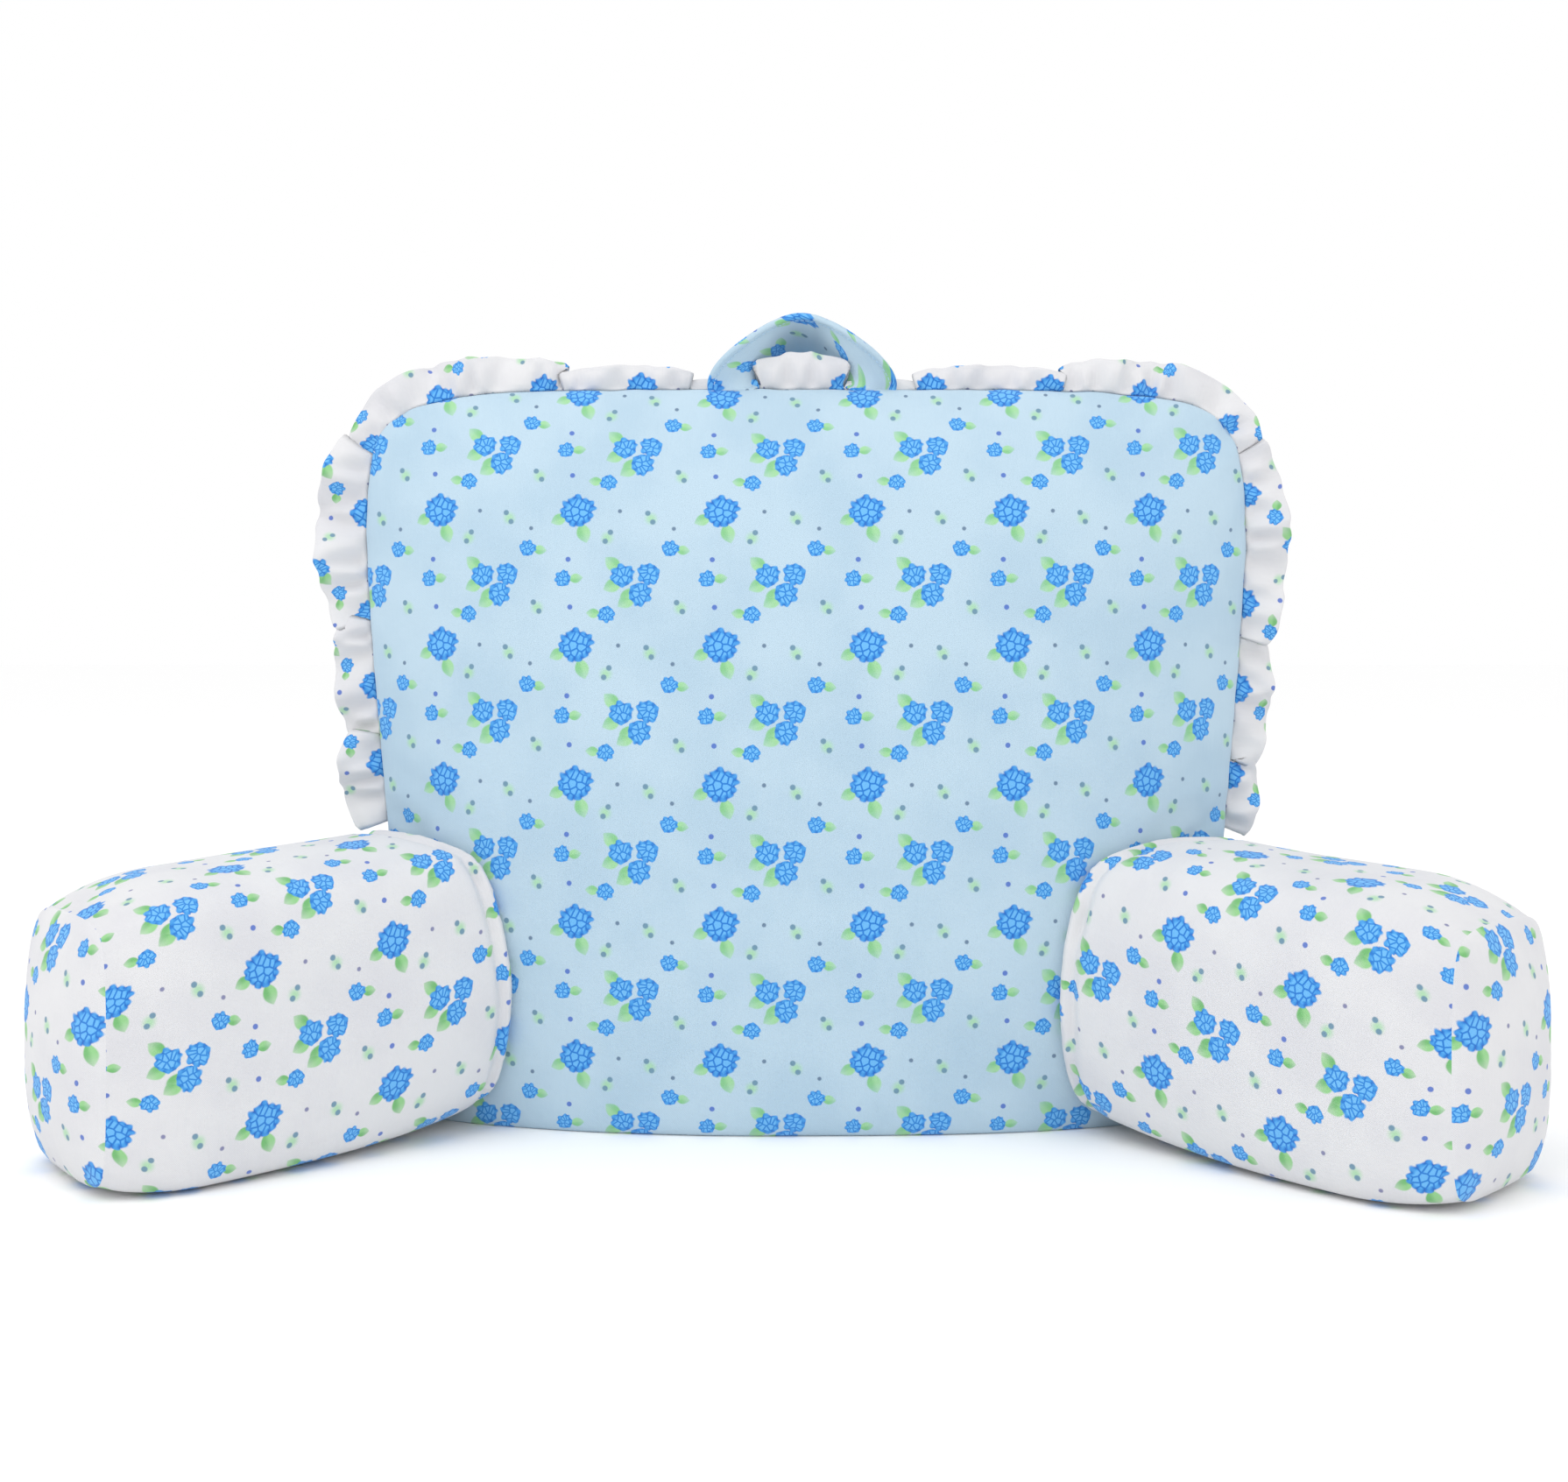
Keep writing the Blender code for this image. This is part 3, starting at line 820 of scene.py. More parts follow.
    def rim(self, across: list[float], up: list[float]) -> list[tuple[float, float]]:
        """Panel coordinates once round the seam, from the bottom left and back to it.

        Args:
            across: the coordinates of the panel's columns.
            up: the coordinates of its rows.

        Returns:
            The coordinates, the last the same as the first.
        """
        bottom = [(s, up[0]) for s in across]
        right = [(across[-1], t) for t in up[1:]]
        top = [(s, up[-1]) for s in reversed(across[:-1])]
        left = [(across[0], t) for t in reversed(up[:-1])]
        return bottom + right + top + left

    def tree_of_front(self) -> BVHTree:
        """The back without its flattened underside, to find where the arms and it meet.

        Returns:
            A search tree of its front panel and band.
        """
        steps = eased_steps(60)
        rim = self.rim(steps, steps)
        corners, faces = [], []
        panels = (
            [[self.front(s, t, False) for s in steps] for t in steps],
            [[self.band(s, t, i / 6, False) for s, t in rim] for i in range(7)],
        )
        for rows in panels:
            start, columns = len(corners), len(rows[0])
            corners += [point for row in rows for point in row]
            for i in range(len(rows) - 1):
                for j in range(columns - 1):
                    a = start + i * columns + j
                    faces.append((a, a + 1, a + columns + 1, a + columns))
        return BVHTree.FromPolygons(corners, faces)

    def build(self, material: bpy.types.Material) -> bpy.types.Object:
        """Make the back.

        Args:
            material: the blue print.

        Returns:
            The finished piece.
        """
        across, up = eased_steps(self.steps_across), eased_steps(self.steps_up)
        front = np.array([[self.front(s, t) for s in across] for t in up])
        rear = np.array([[self.rear(s, t) for s in across] for t in up])
        rim = self.rim(across, up)
        depths = [(1 - math.cos(math.pi * i / self.band_steps)) / 2 for i in range(self.band_steps + 1)]
        band = np.array([[self.band(s, t, depth) for s, t in rim] for depth in depths])
        panels = Panels()
        panels.add(front, centred_map(front, self.front_print, Facing.FRONT))
        panels.add(rear, centred_map(rear, self.rear_print, Facing.REAR))
        panels.add(band, np.stack([lengths_along(band, 1), -lengths_along(band, 0)], axis=2))
        return panels.piece("back_pillow", material)


@dataclass
class BolsterArm:
    """A filled bolster arm: a side panel from the back to a crowned end cap."""

    name: str
    node: str
    side: float
    reach: float
    forward: float
    heading: float
    end_width: float
    root_width: float
    root_reach: float
    side_print: tuple[float, float]
    cap_print: tuple[float, float]
    print_tilt: float
    seed: float
    root_setback: float = 0.096
    bend_setback: float = 0.055
    root_height: float = 0.187
    end_height: float = 0.158
    sink: float = 0.012
    root_lift: float = 0.030
    root_lift_power: float = 1.5
    flare_power: float = 1.6
    cap_crown: float = 0.016
    cap_corner_power: float = 3.4
    root_corner_power: float = 1.0
    cap_rounding: float = 0.036
    cap_rounding_power: float = 2.2
    cap_draw_in: float = 0.014
    crown_spread: float = 2.6
    crown_fullness: float = 0.8
    clearance: float = 0.0018
    seam_hold: float = 0.002
    cap_swell: float = 0.0012
    seam_pucker: float = 0.0013
    seam_pucker_reach: float = 0.012
    swell: float = 0.0024
    groove: float = 0.0012
    groove_width: float = 0.003
    tuck_place: float = 0.0150
    tuck_wander: float = 0.004
    tuck_depth: float = 0.0060
    tuck_width: float = 0.0042
    root_gather: float = 0.0012
    root_gather_reach: float = 0.014
    lip_depth: float = 0.0105
    lip_reach: float = 0.0105
    quarter_steps: int = 44
    steps_along: int = 96

    def axis(self, along: float) -> tuple[Vector, Vector, Vector]:
        """Middle of the arm, its run and its rearward direction.

        Args:
            along: share of the length, 0 inside the back and 1 at the cap.

        Returns:
            The point and the two directions, all level.
        """
        heading = math.radians(self.heading)
        outward = Vector((self.side * math.cos(heading), -math.sin(heading), 0))
        root = Vector((self.side * self.root_reach, self.root_setback, 0))
        cap = Vector((self.side * self.reach, -self.forward, 0))
        bend = cap - outward * ((self.bend_setback - cap.y) / -outward.y)
        rest = 1 - along
        middle = root * rest ** 2 + bend * 2 * rest * along + cap * along ** 2
        run = ((bend - root) * rest + (cap - bend) * along).normalized()
        return middle, run, Vector((-run.y, run.x, 0)) * self.side

    def section(self, across: float, up: float, along: float, shrink: float = 0.0,
                forward: float = 0.0, out: float = 0.0) -> Vector:
        """Point of the rounded section.

        Args:
            across: -1 at the front to 1 at the rear.
            up: -1 below to 1 on top.
            along: share of the length.
            shrink: how far the section is drawn in.
            forward: how far the point moves along the arm.
            out: how far the point moves out from the arm's middle line.

        Returns:
            The point.
        """
        flare = (1 - along) ** self.flare_power
        width = self.end_width + (self.root_width - self.end_width) * flare
        top = self.end_height + (self.root_height - self.end_height) * (1 - along)
        power = self.cap_corner_power + (self.root_corner_power - self.cap_corner_power) * (1 - along)
        s, t = round_corners(across, up, power)
        middle, run, rearward = self.axis(along)
        below = self.sink - self.root_lift * (1 - along) ** self.root_lift_power
        half_height = (top + below) / 2
        sideways, lift = s * (width / 2 - shrink), t * (half_height - shrink)
        size = math.hypot(sideways, lift) + 1e-9
        sideways += out * sideways / size
        lift += out * lift / size
        place = middle + rearward * sideways + run * forward
        return Vector((place.x, place.y, rest_on_floor(top - half_height + lift, self.sink)))

    def crown(self, across: float, up: float) -> float:
        """How far the filling lifts the cap, from 0 at its seam to 1 in its middle."""
        inside = (1 - abs(across) ** self.crown_spread) * (1 - abs(up) ** self.crown_spread)
        return max(inside, 0.0) ** self.crown_fullness

    def cap_point(self, across: float, up: float) -> Vector:
        """Point of the crowned end cap, with puckers at its seam.

        Args:
            across: section coordinate.
            up: section coordinate.

        Returns:
            The point.
        """
        from_seam = min(1 - abs(across), 1 - abs(up)) * self.end_width / 2
        kept = 1 - math.exp(-from_seam / self.seam_hold)
        away = math.hypot(across, up) + 1e-9
        gather = ripple(across / away * 8, up / away * 8, self.seed)
        pucker = kept * self.seam_pucker * gather * math.exp(-from_seam / self.seam_pucker_reach)
        uneven = kept * self.cap_swell * ripple(across * 1.6, up * 1.6, self.seed + 3)
        return self.section(across, up, 1.0, self.cap_draw_in,
                            self.cap_crown * self.crown(across, up) + pucker + uneven)

    def length(self) -> float:
        """Straight length from the inner end to the cap."""
        return (self.axis(1.0)[0] - self.axis(0.0)[0]).length

    def side_point(self, across: float, up: float, along: float, from_root: float) -> Vector:
        """Point of the side panel.

        Args:
            across: section coordinate.
            up: section coordinate.
            along: share of the length.
            from_root: distance from the seam with the back, in metres.

        Returns:
            The point.
        """
        from_cap = (1 - along) * self.length()
        turn = max(1 - from_cap / self.cap_rounding, 0.0)
        shrink = self.cap_draw_in * turn ** self.cap_rounding_power
        kept = 1 - math.exp(-from_cap / self.seam_hold)
        wrinkle = ripple(across * 9, up * 9, self.seed + 6)
        pucker = self.seam_pucker * wrinkle * math.exp(-from_cap / self.seam_pucker_reach)
        uneven = self.swell * ripple(across * 1.3 + along * 3, up * 1.3, self.seed + 9)
        groove = self.groove * valley(from_cap, self.groove_width)
        # The rolled lip at the back: a tuck, a puffed edge, and a turn down to the seam.
        tuck_place = self.tuck_place + self.tuck_wander * ripple(across * 2, up * 2, self.seed + 12)
        tuck_depth = self.tuck_depth * (0.60 + 0.7 * ripple(across * 3, up * 3, self.seed + 15))
        tuck = max(tuck_depth, 0.0) * valley(from_root - tuck_place, self.tuck_width)
        bunch = ripple(across * 12, up * 12, self.seed + 18)
        gather = self.root_gather * bunch * math.exp(-from_root / self.root_gather_reach)
        lip = self.lip_depth * max(1 - from_root / self.lip_reach, 0.0) ** 2.0
        out = kept * (pucker + uneven + gather) - groove * kept - tuck - lip
        return self.section(across, up, along, shrink, 0.0, out)

    def loop(self) -> list[tuple[float, float]]:
        """Section coordinates once round, from the middle of the underside up the front.

        Returns:
            The coordinates, the last the same as the first.
        """
        side = eased_steps(self.quarter_steps)
        below = [s for s in side if s <= 0.0]
        front_bottom = [(s, -1.0) for s in reversed(below)]
        front = [(-1.0, t) for t in side[1:]]
        top = [(s, 1.0) for s in side[1:]]
        rear = [(1.0, t) for t in reversed(side[:-1])]
        rear_bottom = [(s, -1.0) for s in reversed(side[:-1]) if s >= 0.0]
        return front_bottom + front + top + rear + rear_bottom

    def meeting(self, tree: BVHTree, across: float, up: float) -> float:
        """Share of the length where a line along the arm meets the back.

        Args:
            tree: the back's search tree.
            across: the line's section coordinate.
            up: the line's section coordinate.

        Returns:
            The share, a little before the back's surface.
        """
        steps = 60
        before = self.section(across, up, 1.0)
        for i in range(1, steps + 1):
            after = self.section(across, up, 1 - i / steps)
            run = after - before
            found = tree.ray_cast(before, run.normalized(), run.length)[0]
            if found is not None:
                share = ((found - before).length - self.clearance) / run.length
                return 1 - (i - 1 + share) / steps
            before = after
        return 0.0

    def build(self, tree: BVHTree, material: bpy.types.Material) -> bpy.types.Object:
        """Make the arm.

        Args:
            tree: the back's search tree.
            material: the white print.

        Returns:
            The finished piece.
        """
        loop = self.loop()
        ends = np.array([self.meeting(tree, s, t) for s, t in loop])
        for _ in range(3):
            ends[1:-1] = np.maximum(ends[1:-1], (ends[:-2] + ends[2:]) / 2)
        ends[0] = ends[-1] = max(ends[0], ends[-1])
        shares = [(1 - math.cos(math.pi * i / self.steps_along)) / 2 for i in range(self.steps_along + 1)]
        length = self.length()
        side = np.array([
            [self.side_point(s, t, 1 - (1 - end) * share, (1 - end) * (1 - share) * length)
             for (s, t), end in zip(loop, ends)]
            for share in shares])
        grid = eased_steps(self.quarter_steps)
        cap = np.array([[self.cap_point(s, t) for s in grid] for t in grid])
        root = self.root_panel(loop, side[-1], grid)
        along = self.side * lengths_along(side, 0)
        around = lengths_along(side, 1)
        front_foot = self.quarter_steps // 2
        around = around - around[:, front_foot][:, None]
        # The drawn-in cloth next to the cap keeps the print's spacing of the full section.
        drawn_in = self.cap_rounding / ((1 - ends.mean()) * length)
        full = next(i for i, share in enumerate(shares) if share > drawn_in)
        around[:full] = around[full]
        cosine, sine = math.cos(math.radians(self.print_tilt)), math.sin(math.radians(self.print_tilt))
        flat_side = np.stack([-along * cosine - around * sine + self.side_print[0],
                              -along * sine + around * cosine + self.side_print[1]], axis=2)
        panels = Panels()
        panels.add(side, flat_side)
        middle, _, rearward = self.axis(1.0)
        across = self.side * (cap - np.array(middle)) @ np.array(rearward)
        up = cap[:, :, 2] - self.end_height / 2
        panels.add(cap, np.stack([across + self.cap_print[0], up + self.cap_print[1]], axis=2))
        panels.add(root, centred_map(root, (0.0, 0.0), Facing.FRONT))
        return panels.piece(self.name, material)

    def root_panel(self, loop: list[tuple[float, float]], edge: Grid, grid: list[float]) -> Grid:
        """Hidden inner end that closes the arm against the back.

        Args:
            loop: section coordinates of the side panel's edge.
            edge: the side panel's last row.
            grid: section coordinates of the panel's rows and columns.

        Returns:
            The panel, its rim the same points as the edge.
        """
        rim = {pair: Vector(point) for pair, point in zip(loop, edge)}
        last = len(grid) - 1
        rows = []
        for i, t in enumerate(grid):
            row = []
            for j, s in enumerate(grid):
                if i in (0, last) or j in (0, last):
                    row.append(rim[(s, t)])
                    continue
                u, v = j / last, i / last
                sides = rim[(-1.0, t)].lerp(rim[(1.0, t)], u)
                ends = rim[(s, -1.0)].lerp(rim[(s, 1.0)], v)
                low = rim[(-1.0, -1.0)].lerp(rim[(1.0, -1.0)], u)
                high = rim[(-1.0, 1.0)].lerp(rim[(1.0, 1.0)], u)
                row.append(sides + ends - low.lerp(high, v))
            rows.append(row)
        return np.array(rows)


LOBE_COLUMNS = ("starts", "ends", "reach", "lean", "folds", "front")
LOBE_ROWS = (
    (-0.497, -0.444, 0.026, -0.002, 1, 1),
    (-0.444, -0.375, 0.025, 0.003, 2, -1),
    (-0.375, -0.275, 0.030, -0.003, 2, 1),
    (-0.275, -0.147, 0.022, 0.004, 3, -1),
    (-0.147, -0.070, 0.014, -0.001, 2, 1),
    (-0.070, -0.028, 0.006, 0.003, 0, -1),
    (-0.028, 0.023, 0.022, 0.000, 0, 1),
    (0.023, 0.066, 0.006, 0.003, 0, -1),
    (0.066, 0.155, 0.014, 0.001, 2, 1),
    (0.155, 0.275, 0.021, 0.004, 3, -1),
    (0.275, 0.386, 0.025, -0.003, 2, 1),
    (0.386, 0.460, 0.022, 0.003, 2, -1),
    (0.460, 0.501, 0.019, 0.000, 1, 1),
)


@dataclass
class Ruffle:
    """A strip of the white print, folded double, gathered and sewn in the back's front seam."""

    back: BackCushion
    standoff: float = 0.0008
    wave: float = 0.0072
    small_wave: float = 0.0016
    wave_reach: float = 0.025
    full_reach: float = 0.018
    notch: float = 0.62
    layer_gap: float = 0.0022
    puff: float = 0.0030
    gather_pitch: float = 0.017
    gather_depth: float = 0.0032
    scallop: float = 0.025
    steps_per_metre: float = 620.0
    layer_steps: int = 12
    fold_steps: int = 5
    overlap: float = 0.0042
    pleat_gap: float = 0.0026
    print_start: float = 0.031
    samples: int = 1200
    flat_size: tuple[float, float] = (0.0, 0.0)

    def seam_line(self) -> tuple[list[Vector], list[float]]:
        """The front seam from the left floor over the top to the right floor.

        Returns:
            Its points and their lengths from the top middle.
        """
        half = self.samples // 4
        left = [(-1.0, -1 + 2 * i / half) for i in range(half)]
        top = [(-1 + i / half, 1.0) for i in range(2 * half)]
        right = [(1.0, 1 - 2 * i / half) for i in range(half + 1)]
        points = [Vector(self.back.seam(s, t)) for s, t in left + top + right]
        lengths = [0.0]
        for before, after in zip(points, points[1:]):
            lengths.append(lengths[-1] + (after - before).length)
        middle = lengths[2 * half]
        return points, [length - middle for length in lengths]

    def columns(self) -> list[dict]:
        """Places along the strip, lobe by lobe.

        Returns:
            For each column its seam length, pleat shift, reach, lean, wave and depth.
        """
        made = []
        for row in LOBE_ROWS:
            lobe = dict(zip(LOBE_COLUMNS, row))
            count = max(int((lobe["ends"] - lobe["starts"]) * self.steps_per_metre), 8)
            for i in range(count + 1):
                share = i / count
                swell = math.sin(math.pi * share)
                length = lobe["starts"] + (lobe["ends"] - lobe["starts"]) * share
                size = lobe["reach"] / self.wave_reach
                main = math.sin(2 * math.pi * lobe["folds"] * share + 0.4 * ripple(length * 30, 0, 50))
                small = ripple(length * 150, 0.0, 52.0)
                made.append({
                    "length": length,
                    "shift": self.overlap * size * (2 * share - 1) ** 5,
                    "reach": lobe["reach"] * (self.notch + (1 - self.notch) * swell ** 0.5),
                    "lean": lobe["lean"] * swell,
                    "wave": size * (self.wave * main * swell ** 0.3 + self.small_wave * small),
                    "pleat": -lobe["front"] * self.pleat_gap * abs(2 * share - 1) ** 3 * size,
                })
        return made

    def build(self, material: bpy.types.Material) -> bpy.types.Object:
        """Make the ruffle.

        Args:
            material: the white print.

        Returns:
            The finished piece.
        """
        points, lengths = self.seam_line()
        levels = [i / self.layer_steps for i in range(self.layer_steps + 1)]
        section = [(level, -1.0) for level in levels]
        for i in range(1, self.fold_steps):
            turn = math.pi * i / self.fold_steps
            section.append((1.0, -math.cos(turn)))
        section += [(level, 1.0) for level in reversed(levels)]
        rows = []
        for column in self.columns():
            row = []
            for level, face in section:
                length = column["length"] + column["shift"] * level
                spot = int(np.searchsorted(lengths, length))
                spot = min(max(spot, 1), len(lengths) - 1)
                share = (length - lengths[spot - 1]) / (lengths[spot] - lengths[spot - 1])
                foot = points[spot - 1].lerp(points[spot], share)
                along = (points[spot] - points[spot - 1]).normalized()
                outward = Vector((-along.y, along.x))
                row.append(self.section_point(column, foot, outward, level, face))
            rows.append(row)
        strip = np.array(rows)
        around = lengths_along(strip, 1)
        run = lengths_along(strip[:, self.layer_steps:self.layer_steps + 1], 0)
        panels = Panels()
        flat = np.stack([np.repeat(run, strip.shape[1], axis=1) + self.print_start, around], axis=2)
        panels.add(strip, flat)
        foot_panel = np.stack([strip[:, -1], strip[:, 0]], axis=1)
        panels.add(foot_panel, flat[:, :2])
        for end in (0, -1):
            self.close_end(panels, strip[end], flat[end])
        piece = panels.piece("ruffle_strip", material)
        self.flat_size = (float(around[:, self.layer_steps].mean()), float(run[-1, 0]))
        return piece

    def section_point(self, column: dict, foot: Vector, outward: Vector, level: float,
                      face: float) -> tuple[float, float, float]:
        """Point of the double strip.

        Args:
            column: the place along the strip.
            foot: the seam's point there.
            outward: the direction away from the seam.
            level: from 0 at the seam to 1 at the folded edge.
            face: -1 on the front layer and 1 on the rear one.

        Returns:
            The point.
        """
        size = min(column["reach"] / self.full_reach, 1.0)
        thick = self.layer_gap / 2 + size * self.puff / 2 * math.sin(math.pi * min(level, 0.999) ** 1.4)
        round_edge = self.layer_gap / 2 * math.sqrt(max(1 - face * face, 0.0)) if level >= 1.0 else 0.0
        drawn = 4.5 * ripple(column["length"] * 34, 0.0, 64.0)
        wave = math.sin(2 * math.pi * column["length"] / self.gather_pitch + drawn)
        gather = self.gather_depth * wave * math.sin(math.pi * min(level + 0.12, 1.0)) ** 0.7
        gather *= min(level * 6, 1.0)
        gather *= size * (0.6 + 0.9 * abs(ripple(column["length"] * 22, 0.0, 67.0)))
        reach = column["reach"] * (1 + self.scallop * wave * level)
        flat = foot + outward * (self.standoff + reach * level + round_edge)
        y = self.back.seam_plane + (column["lean"] + column["wave"] + column["pleat"]) * level ** 1.2
        y += face * thick + gather
        return flat.x, y, flat.y

    def close_end(self, panels: Panels, row: Grid, flat: Grid) -> None:
        """Close one end of the strip between its two layers.

        Args:
            panels: the ruffle's panels.
            row: the points once round the strip's end.
            flat: their places on the flat cloth.
        """
        half = len(row) // 2
        front, rear = row[:half + 1], row[::-1][:half + 1]
        flat_front = flat[:half + 1]
        panels.add(np.stack([front, rear], axis=1), np.stack([flat_front, flat_front], axis=1))


@dataclass
class CarryingLoop:
    """A strap of the blue print, turned a quarter on its way up, with rolled and stitched edges."""

    back: BackCushion
    width: float = 0.040
    root_width: float = 0.029
    thickness: float = 0.0026
    edge_roll: float = 0.0008
    left: float = -0.045
    right: float = 0.040
    rise: float = 0.043
    rise_power: float = 1.12
    lean: float = 32.0
    flare: float = 0.3
    twist_power: float = 0.6
    flat_rise: float = 0.002
    bend_power: float = 3.0
    setback: float = 0.0034
    drop: float = 0.0002
    steps: int = 160
    across_steps: int = 24
    stitch_inset: float = 0.0042
    stitch_length: float = 0.0021
    stitch_pitch: float = 0.0031
    stitch_radius: float = 0.0003
    root_wrinkle: float = 0.0010
    wrinkle_reach: float = 0.12
    strap_wave: float = 0.0006
    flat_size: tuple[float, float] = (0.0, 0.0)

    def frame(self, share: float) -> tuple[Vector, Vector, float]:
        """Middle of the strap, its width direction and its width.

        Args:
            share: share of its length.

        Returns:
            The three.
        """
        turn = math.pi * share
        lean = math.radians(self.lean)
        rise = self.rise * math.sin(turn) ** self.rise_power if 0 < share < 1 else 0.0
        spread = math.cos(turn)
        half_span = (self.right - self.left) / 2
        bell = (1 - self.flare) * spread + self.flare * spread ** 5
        x = (self.left + self.right) / 2 - half_span * bell
        backward = math.sin(lean) * self.rise * (rise / self.rise) ** self.bend_power
        place = Vector((x, self.back.seam_plane - self.setback + backward,
                        self.back.top - self.drop + rise * math.cos(lean)))
        turned = max(rise - self.flat_rise, 0.0) / (self.rise - self.flat_rise)
        twist = turned ** self.twist_power
        sideways = Vector((1, 0, 0)) * (1 if share < 0.5 else -1)
        over = Vector((0, math.cos(lean), -math.sin(lean)))
        width_way = (sideways * (1 - twist) + over * twist).normalized()
        return place, width_way, self.root_width + (self.width - self.root_width) * twist

    def thin_way(self, share: float) -> Vector:
        """Direction through the strap.

        Args:
            share: share of its length.

        Returns:
            The direction.
        """
        step = 0.5 / self.steps
        before, after = max(share - step, 0.0), min(share + step, 1.0)
        along = self.frame(after)[0] - self.frame(before)[0]
        return along.cross(self.frame(share)[1]).normalized()

    def surface(self, share: float, wide: float, face: float) -> Vector:
        """Point of the strap's skin.

        Args:
            share: share of its length.
            wide: -0.5 to 0.5 across it.
            face: -1 to 1 through it.

        Returns:
            The point.
        """
        place, width_way, width = self.frame(share)
        thin_way = self.thin_way(share)
        edge = (0.5 - abs(wide)) * width
        half = self.thickness / 2 + self.edge_roll * valley(edge - 0.0016, 0.0016)
        half *= math.sqrt(max(1 - max(1 - edge / 0.0012, 0.0) ** 2, 0.04))
        end = min(share, 1 - share)
        fading = math.exp(-end / self.wrinkle_reach)
        wrinkle = self.root_wrinkle * ripple(wide * 7, share * 5, 70.0) * fading
        wave = self.strap_wave * ripple(wide * 3, share * 16, 72.0)
        return place + width_way * wide * width + thin_way * (face * half + wrinkle + wave)

    def build(self, material: bpy.types.Material) -> bpy.types.Object:
        """Make the strap.

        Args:
            material: the blue print.

        Returns:
            The finished piece.
        """
        wides = [0.5 * u for u in eased_steps(self.across_steps)]
        section = [(wide, -1.0) for wide in wides] + [(wide, 1.0) for wide in reversed(wides)]
        section.append(section[0])
        shares = [i / self.steps for i in range(self.steps + 1)]
        skin = np.array([[self.surface(share, wide, face) for wide, face in section] for share in shares])
        flat = np.stack([lengths_along(skin, 1), lengths_along(skin, 0)], axis=2)
        panels = Panels()
        panels.add(skin, flat)
        count = len(wides)
        for end in (0, -1):
            front, rear = skin[end][:count], skin[end][count:2 * count][::-1]
            panels.add(np.stack([front, rear], axis=1), np.stack([flat[end][:count]] * 2, axis=1))
        self.flat_size = (self.width, float(flat[-1, count // 2, 1]))
        return panels.piece("loop_strap", material)

    def stitch_lines(self) -> bpy.types.Object:
        """Lines that the stitches follow, along both edges of both faces.

        Returns:
            An object of plain edges.
        """
        points, edges = [], []
        for face in (-1.0, 1.0):
            for side in (-1.0, 1.0):
                start = len(points)
                for i in range(6, self.steps - 5):
                    share = i / self.steps
                    width = self.frame(share)[2]
                    wide = side * (0.5 - self.stitch_inset / width)
                    lifted = self.thin_way(share) * face * self.stitch_radius * 0.4
                    points.append(self.surface(share, wide, face) + lifted + PLACE)
                edges += [(k, k + 1) for k in range(start, len(points) - 1)]
        mesh = bpy.data.meshes.new("loop_stitch_lines")
        mesh.from_pydata(points, edges, [])
        lines = bpy.data.objects.new("loop_stitch_lines", mesh)
        bpy.context.scene.collection.objects.link(lines)
        return lines

    def stitches(self, thread: bpy.types.Material) -> bpy.types.Object:
        """Make the topstitching with geometry nodes and bake it to a mesh.

        Args:
            thread: the thread's material.

        Returns:
            The finished piece.
        """
        lines = self.stitch_lines()
        tree = bpy.data.node_groups.new("topstitching", "GeometryNodeTree")
        sizes = {"Pitch": self.stitch_pitch, "Length": self.stitch_length, "Radius": self.stitch_radius}
        tree.interface.new_socket(name="Geometry", in_out="INPUT", socket_type="NodeSocketGeometry")
        sockets = {label: tree.interface.new_socket(name=label, in_out="INPUT",
                                                    socket_type="NodeSocketFloat") for label in sizes}
        tree.interface.new_socket(name="Geometry", in_out="OUTPUT", socket_type="NodeSocketGeometry")
        known = {"inputs": add_node(tree, "NodeGroupInput", {}, {})}
        lay_steps(tree, (
            ("curve", "GeometryNodeMeshToCurve", {}, ("inputs.Geometry",)),
            ("spaced", "GeometryNodeResampleCurve", {"mode": "LENGTH"},
             {"Curve": "curve", "Length": "inputs.Pitch"}),
            ("tangent", "GeometryNodeInputTangent", {}, {}),
            ("aligned", "FunctionNodeAlignRotationToVector", {"axis": "Z"}, {"Vector": "tangent"}),
            ("stitch", "GeometryNodeMeshCylinder", {"fill_type": "TRIANGLE_FAN"},
             {"Vertices": 6, "Side Segments": 2, "Radius": "inputs.Radius", "Depth": "inputs.Length"}),
            ("placed", "GeometryNodeInstanceOnPoints", {},
             {"Points": "spaced", "Instance": "stitch.Mesh", "Rotation": "aligned"}),
            ("real", "GeometryNodeRealizeInstances", {}, ("placed",)),
            ("sewn", "GeometryNodeSetMaterial", {}, {"Geometry": "real", "Material": thread}),
        ), known)
        add_node(tree, "NodeGroupOutput", {}, {0: known["sewn"]})
        modifier = lines.modifiers.new("topstitching", "NODES")
        modifier.node_group = tree
        for label, size in sizes.items():
            modifier[sockets[label].identifier] = size
        evaluated = lines.evaluated_get(bpy.context.evaluated_depsgraph_get())
        mesh = bpy.data.meshes.new_from_object(evaluated)
        mesh.name = "loop_stitches"
        mesh.shade_smooth()
        bpy.data.objects.remove(lines, do_unlink=True)
        made = bpy.data.objects.new("loop_stitches", mesh)
        bpy.context.scene.collection.objects.link(made)
        LOG.info("loop_stitches: %d faces", len(mesh.polygons))
        return made


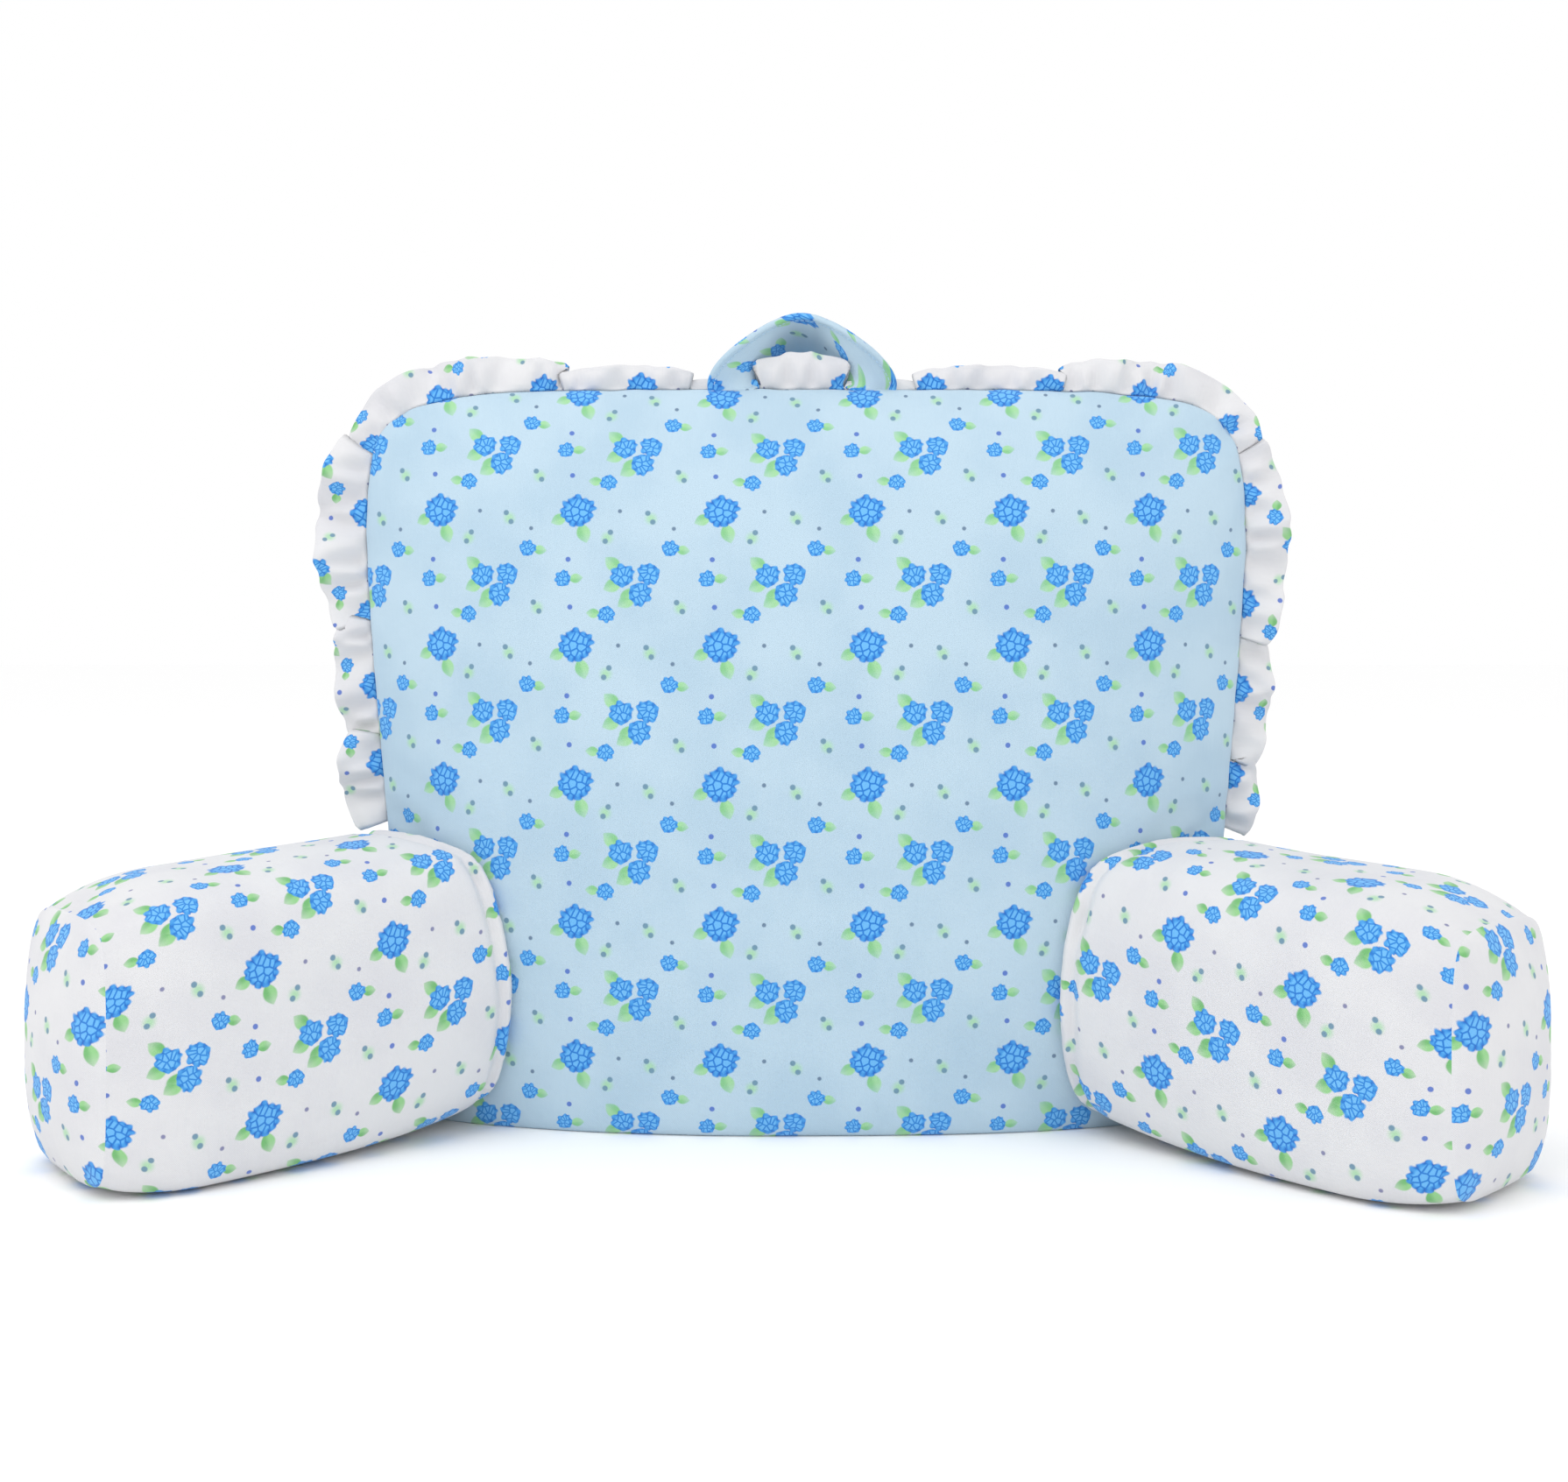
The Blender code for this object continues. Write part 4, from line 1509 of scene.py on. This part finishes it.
@dataclass(frozen=True)
class Studio:
    """Soft studio light and a camera level with the pillow's upper half."""

    camera_place: tuple[float, float, float] = (0.003, -1.214, 0.320)
    lens: float = 48.268
    shift: float = -0.1006
    sky: float = 1.0
    key_power: float = 12.0
    fill_power: float = 2.0

    def build(self) -> None:
        """Set up the world, the lights and the camera."""
        world = bpy.data.worlds.new("white room")
        world.use_nodes = True
        background = world.node_tree.nodes["Background"]
        background.inputs["Color"].default_value = linear("#FFFFFF")
        background.inputs["Strength"].default_value = self.sky
        bpy.context.scene.world = world
        bpy.context.scene.view_settings.view_transform = "Standard"
        self.softbox("key", (-0.7, -0.9, 1.9), 1.4, self.key_power)
        self.softbox("fill", (1.2, -1.0, 1.2), 1.2, self.fill_power)
        camera = bpy.data.cameras.new("camera")
        camera.lens = self.lens
        camera.sensor_width = 36.0
        camera.shift_y = self.shift
        holder = bpy.data.objects.new("camera", camera)
        holder.location = self.camera_place
        holder.rotation_euler = (math.radians(90), 0, 0)
        bpy.context.scene.collection.objects.link(holder)
        bpy.context.scene.camera = holder

    def softbox(self, name: str, place: tuple[float, float, float], size: float, power: float) -> None:
        """Hang one soft light that looks at the pillow.

        Args:
            name: the light's name.
            place: where it hangs.
            size: its side.
            power: its power in watts.
        """
        light = bpy.data.lights.new(name, "AREA")
        light.size = size
        light.energy = power
        holder = bpy.data.objects.new(name, light)
        holder.location = place
        aim = Vector((0.0, 0.0, 0.2)) - Vector(place)
        holder.rotation_euler = aim.to_track_quat("-Z", "Y").to_euler()
        bpy.context.scene.collection.objects.link(holder)


ARMS = (
    BolsterArm("left_bolster", "arm_left", -1.0, 0.396, 0.075, 37.0, 0.144, 0.136, 0.184,
               (-0.083, -0.1122), (0.0315, -0.0123), 0.0, 100.0),
    BolsterArm("right_bolster", "arm_right", 1.0, 0.360, 0.103, 42.0, 0.144, 0.148, 0.172,
               (0.0157, -0.0922), (0.047, -0.0155), 9.4, 140.0),
)


def settle(piece: bpy.types.Object, node: str) -> None:
    """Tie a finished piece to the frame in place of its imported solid.

    Args:
        piece: the piece.
        node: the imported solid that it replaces.
    """
    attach(piece, ROOT)
    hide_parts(node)


def main() -> None:
    """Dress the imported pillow."""
    logging.basicConfig(level=logging.INFO, format="%(name)s: %(message)s")
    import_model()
    number = "NodeSocketFloat"
    groups = {
        "peony": PEONY.group(),
        "rose": ROSE.group(),
        "leaf": make_group("printed leaf", {"Mask": number, "Tone": number}, LEAF_STEPS),
        "sprig": make_group("printed sprig", {"Bud": number, "Stem": number}, SPRIG_STEPS),
    }
    blue, white = BLUE_COTTON.material(groups), WHITE_COTTON.material(groups)

    back = BackCushion()
    piece = back.build(blue)
    settle(piece, "back_cushion")

    tree = back.tree_of_front()
    for arm in ARMS:
        piece = arm.build(tree, white)
        settle(piece, arm.node)

    ruffle = Ruffle(back)
    piece = ruffle.build(white)
    settle(piece, "ruffle")
    LOG.info("ruffle: flat %.3f by %.3f m, double", *ruffle.flat_size)

    loop = CarryingLoop(back)
    piece = loop.build(blue)
    settle(piece, "handle")
    LOG.info("loop: flat %.3f by %.3f m", *loop.flat_size)
    stitches = loop.stitches(SewingThread().material())
    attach(stitches, ROOT)

    StudioFloor().build()
    Studio().build()
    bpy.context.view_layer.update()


if __name__ == "__main__":
    main()
